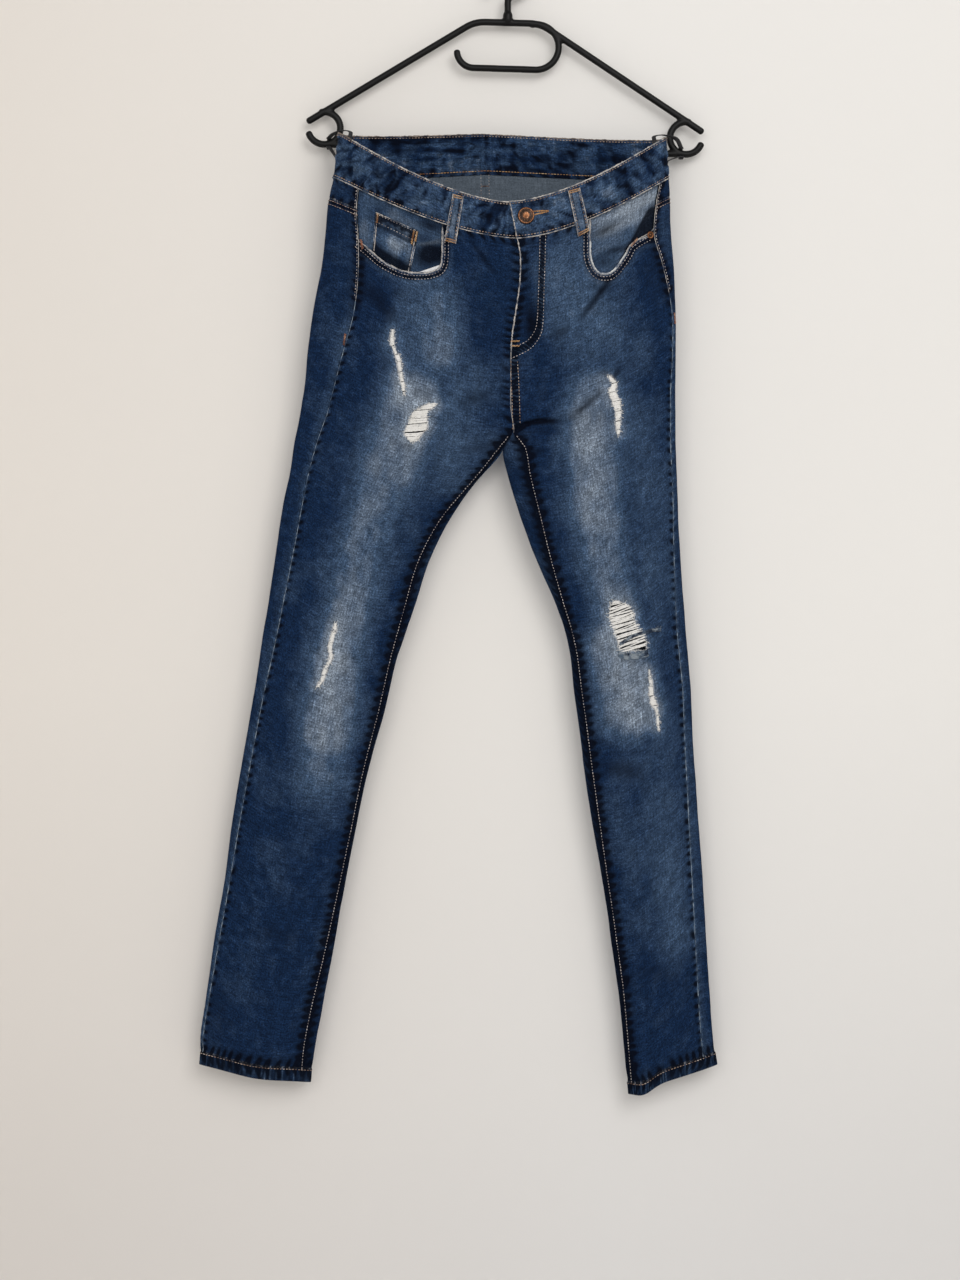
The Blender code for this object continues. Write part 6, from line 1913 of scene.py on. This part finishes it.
def make_stage():
    """A wall that is clear from behind, its paint darkened towards the bottom and the left as painted shade; a floor,
    the lamps, and the camera.
    """
    settings = chosen()
    n = Finish("wall_paint")
    at, paint = n.place(), settings.wall_color
    across, _, up = n.add("ShaderNodeSeparateXYZ", {0: at}).outputs
    tone = n.mix(n.spread(n.noise(at, 2.1, 2), 0, 1), rgb(*paint), rgb(*(c * 0.985 for c in paint)))
    # Painted shade: the paint darkens towards the bottom, and darkens and warms towards the left.
    for axis, low, high, shade_tint in (
        (up, -0.75, -1.36, (0.885, 0.89, 0.91)), (across, 0.1, -0.52, (0.955, 0.92, 0.885)),
    ):
        tone = n.mix(n.spread(axis, low, high), tone, n.mix(1.0, tone, rgb(*shade_tint), "MULTIPLY"))
    wall = n.dress(tone, 0.9, (n.noise(at, 900, 2), 0.05, 0.0004), 0.1)
    clear = n.add("ShaderNodeBsdfTransparent").outputs[0]
    behind = n.add("ShaderNodeNewGeometry").outputs["Backfacing"]
    seen = n.add("ShaderNodeMixShader", {0: behind, 1: n.shader.outputs[0], 2: clear}).outputs[0]
    n.put(n.out.inputs["Surface"], seen)
    n, paint = Finish("floor_paint"), settings.floor_color
    tone = n.mix(n.spread(n.noise(n.place(), 3, 2), 0, 1), rgb(*paint), rgb(*(c * 0.98 for c in paint)))
    floor = n.dress(tone, 0.85)
    top, foot, half, deep, away = 2200, -1650, 3200, 3600, settings.wall_distance / MM
    for name, corners, material in (
        ("wall", [(-half, away, foot), (half, away, foot), (half, away, top), (-half, away, top)], wall),
        ("floor", [(-half, -deep, foot), (half, -deep, foot), (half, deep, foot), (-half, deep, foot)], floor),
    ):
        obj = mesh_object(name, corners, [(0, 1, 2, 3)], [material])
        obj.visible_shadow = name != "wall"
        obj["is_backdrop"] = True

    scene = bpy.context.scene
    scene.view_settings.view_transform = "Standard"
    scene.world = bpy.data.worlds.new("studio")
    scene.world.use_nodes = True
    background = scene.world.node_tree.nodes["Background"].inputs
    background["Color"].default_value = rgb(1.0, 0.99, 0.975)
    background["Strength"].default_value = settings.fill_strength
    lamp("key", settings.key_power, (1.05, -3.0, 0.75), 2.0, (1.0, 0.985, 0.97))
    lamp("front_fill", settings.front_power, (-0.9, -3.3, 0.1), 1.6, (1.0, 0.98, 0.96))
    lamp("rear", settings.rear_power, (-0.9, 2.8, 0.5), 1.8, (1.0, 0.98, 0.96))

    camera = bpy.data.cameras.new("camera")
    camera.sensor_fit, camera.sensor_height, camera.sensor_width = "VERTICAL", 36, 27
    camera.lens, camera.clip_end = 64.9, 20
    scene.camera = link("camera", camera)
    scene.camera.location = (-0.0291, -2.420, -0.7098)
    scene.camera.rotation_euler = (math.pi / 2, 0, 0)


# ================================================================ the add-on
def color_choice(name, description, default):
    return bpy.props.FloatVectorProperty(
        name=name, description=description, default=default, subtype="COLOR", size=3, min=0, max=1)


def number_choice(name, description, default, unit="NONE"):
    return bpy.props.FloatProperty(name=name, description=description, default=default, min=0, unit=unit)


class JEANS_PG_settings(bpy.types.PropertyGroup):
    """The sizes, colours and lights that a user would change."""

    deep_dye: color_choice("Deep dye", "Denim where the indigo is still full", (0.0056, 0.0170, 0.048))
    middle_dye: color_choice("Middle dye", "Denim that is half washed out", (0.040, 0.070, 0.125))
    washed_dye: color_choice("Washed dye", "Denim at its palest, on the thighs and knees", (0.188, 0.226, 0.278))
    tan_thread: color_choice("Tan thread", "Topstitching on the waistband, loops and hems", (0.40, 0.275, 0.20))
    pale_thread: color_choice("Pale thread", "Topstitching on the fly, pockets and seams", (0.44, 0.385, 0.37))
    orange_thread: color_choice("Orange thread", "Bar tacks and the buttonhole", (0.55, 0.29, 0.11))
    weft_color: color_choice("Weft", "White threads bared in the rips", (0.84, 0.83, 0.80))
    copper_color: color_choice("Copper", "The button and the rivet", (0.27, 0.115, 0.05))
    plastic_color: color_choice("Hanger plastic", "The moulded hanger", (0.0045, 0.0045, 0.005))
    stitch_pitch: number_choice("Stitch pitch", "From the start of one stitch to the next", 0.0032, "LENGTH")
    stitch_length: number_choice("Stitch length", "How much of each stitch shows", 0.0023, "LENGTH")
    thread_radius: number_choice("Thread radius", "Half the thickness of the topstitching", 0.00042, "LENGTH")
    wall_color: color_choice("Wall colour", "Paint on the wall behind the hanger", (0.80, 0.785, 0.762))
    floor_color: color_choice("Floor colour", "Pale floor under the hanging jeans", (0.74, 0.72, 0.69))
    wall_distance: number_choice("Wall distance", "How far the wall is behind the hanger's middle", 0.014, "LENGTH")
    fill_strength: number_choice("Fill light", "Strength of the even light from all round", 0.52)
    key_power: number_choice("Key light", "Power of the soft lamp on the right", 45.0, "POWER")
    front_power: number_choice("Front light", "Power of the wide lamp in front", 19.0, "POWER")
    rear_power: number_choice("Rear light", "Power of the lamp behind the wall", 60.0, "POWER")


class JEANS_OT_panels(bpy.types.Operator):
    """Fronts with their rips cut out, backs, yokes, hem folds and pocket facings"""

    bl_idname = "jeans.panels"
    bl_label = "Denim panels"
    bl_options = {"REGISTER", "UNDO"}

    def execute(self, context):
        make_panels()
        return {"FINISHED"}


class JEANS_OT_waistband(bpy.types.Operator):
    """The waistband, lapped at the front"""

    bl_idname = "jeans.waistband"
    bl_label = "Waistband"
    bl_options = {"REGISTER", "UNDO"}

    def execute(self, context):
        make_waistband()
        return {"FINISHED"}


class JEANS_OT_pockets(bpy.types.Operator):
    """Coin pocket, bared pocketing and the two back pockets"""

    bl_idname = "jeans.pockets"
    bl_label = "Pockets"
    bl_options = {"REGISTER", "UNDO"}

    def execute(self, context):
        make_pockets()
        return {"FINISHED"}


class JEANS_OT_belt_loops(bpy.types.Operator):
    """The five belt loops"""

    bl_idname = "jeans.belt_loops"
    bl_label = "Belt loops"
    bl_options = {"REGISTER", "UNDO"}

    def execute(self, context):
        make_belt_loops()
        return {"FINISHED"}


class JEANS_OT_rips(bpy.types.Operator):
    """Bared weft threads in each rip, and the broken ends round them"""

    bl_idname = "jeans.rips"
    bl_label = "Rips"
    bl_options = {"REGISTER", "UNDO"}

    def execute(self, context):
        make_wefts()
        make_fringe()
        return {"FINISHED"}


class JEANS_OT_sewing(bpy.types.Operator):
    """Topstitching, bar tacks, the buttonhole and the rubbed edges"""

    bl_idname = "jeans.sewing"
    bl_label = "Sewing"
    bl_options = {"REGISTER", "UNDO"}

    def execute(self, context):
        make_seam_threads()
        make_tacks()
        make_rubbed_edges()
        return {"FINISHED"}


class JEANS_OT_metal(bpy.types.Operator):
    """The button and the pocket rivet"""

    bl_idname = "jeans.metal"
    bl_label = "Button and rivet"
    bl_options = {"REGISTER", "UNDO"}

    def execute(self, context):
        make_metal()
        return {"FINISHED"}


class JEANS_OT_hanger(bpy.types.Operator):
    """The moulded hanger and the tapes that hold the waistband to it"""

    bl_idname = "jeans.hanger"
    bl_label = "Hanger and tapes"
    bl_options = {"REGISTER", "UNDO"}

    def execute(self, context):
        make_hanger()
        make_tapes()
        return {"FINISHED"}


class JEANS_OT_stage(bpy.types.Operator):
    """Wall, floor, lamps and camera"""

    bl_idname = "jeans.stage"
    bl_label = "Stage"
    bl_options = {"REGISTER", "UNDO"}

    def execute(self, context):
        make_stage()
        return {"FINISHED"}


class JEANS_PT_build(bpy.types.Panel):
    """Lists the pieces in the order they are made"""

    bl_idname = "JEANS_PT_build"
    bl_label = "Ripped Jeans"
    bl_space_type = "VIEW_3D"
    bl_region_type = "UI"
    bl_category = "Jeans"

    def draw(self, context):
        for prop in JEANS_PG_settings.__annotations__:
            self.layout.prop(context.scene.jeans, prop)
        for cls in OPERATORS:
            self.layout.operator(cls.bl_idname)


OPERATORS = (
    JEANS_OT_panels, JEANS_OT_waistband, JEANS_OT_pockets, JEANS_OT_belt_loops, JEANS_OT_rips,
    JEANS_OT_sewing, JEANS_OT_metal, JEANS_OT_hanger, JEANS_OT_stage,
)
CLASSES = (JEANS_PG_settings, *OPERATORS, JEANS_PT_build)


def register():
    for cls in CLASSES:
        bpy.utils.register_class(cls)
    bpy.types.Scene.jeans = bpy.props.PointerProperty(type=JEANS_PG_settings)


def unregister():
    del bpy.types.Scene.jeans
    for cls in reversed(CLASSES):
        bpy.utils.unregister_class(cls)


def plain(box):
    return [[float(value) for value in corner] for corner in box]


def main():
    register()
    for cls in OPERATORS:
        group, name = cls.bl_idname.split(".")
        getattr(getattr(bpy.ops, group), name)()
    {"cad": plain(CAD_BOX), "visual": plain(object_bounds())}


if __name__ == "__main__":
    main()
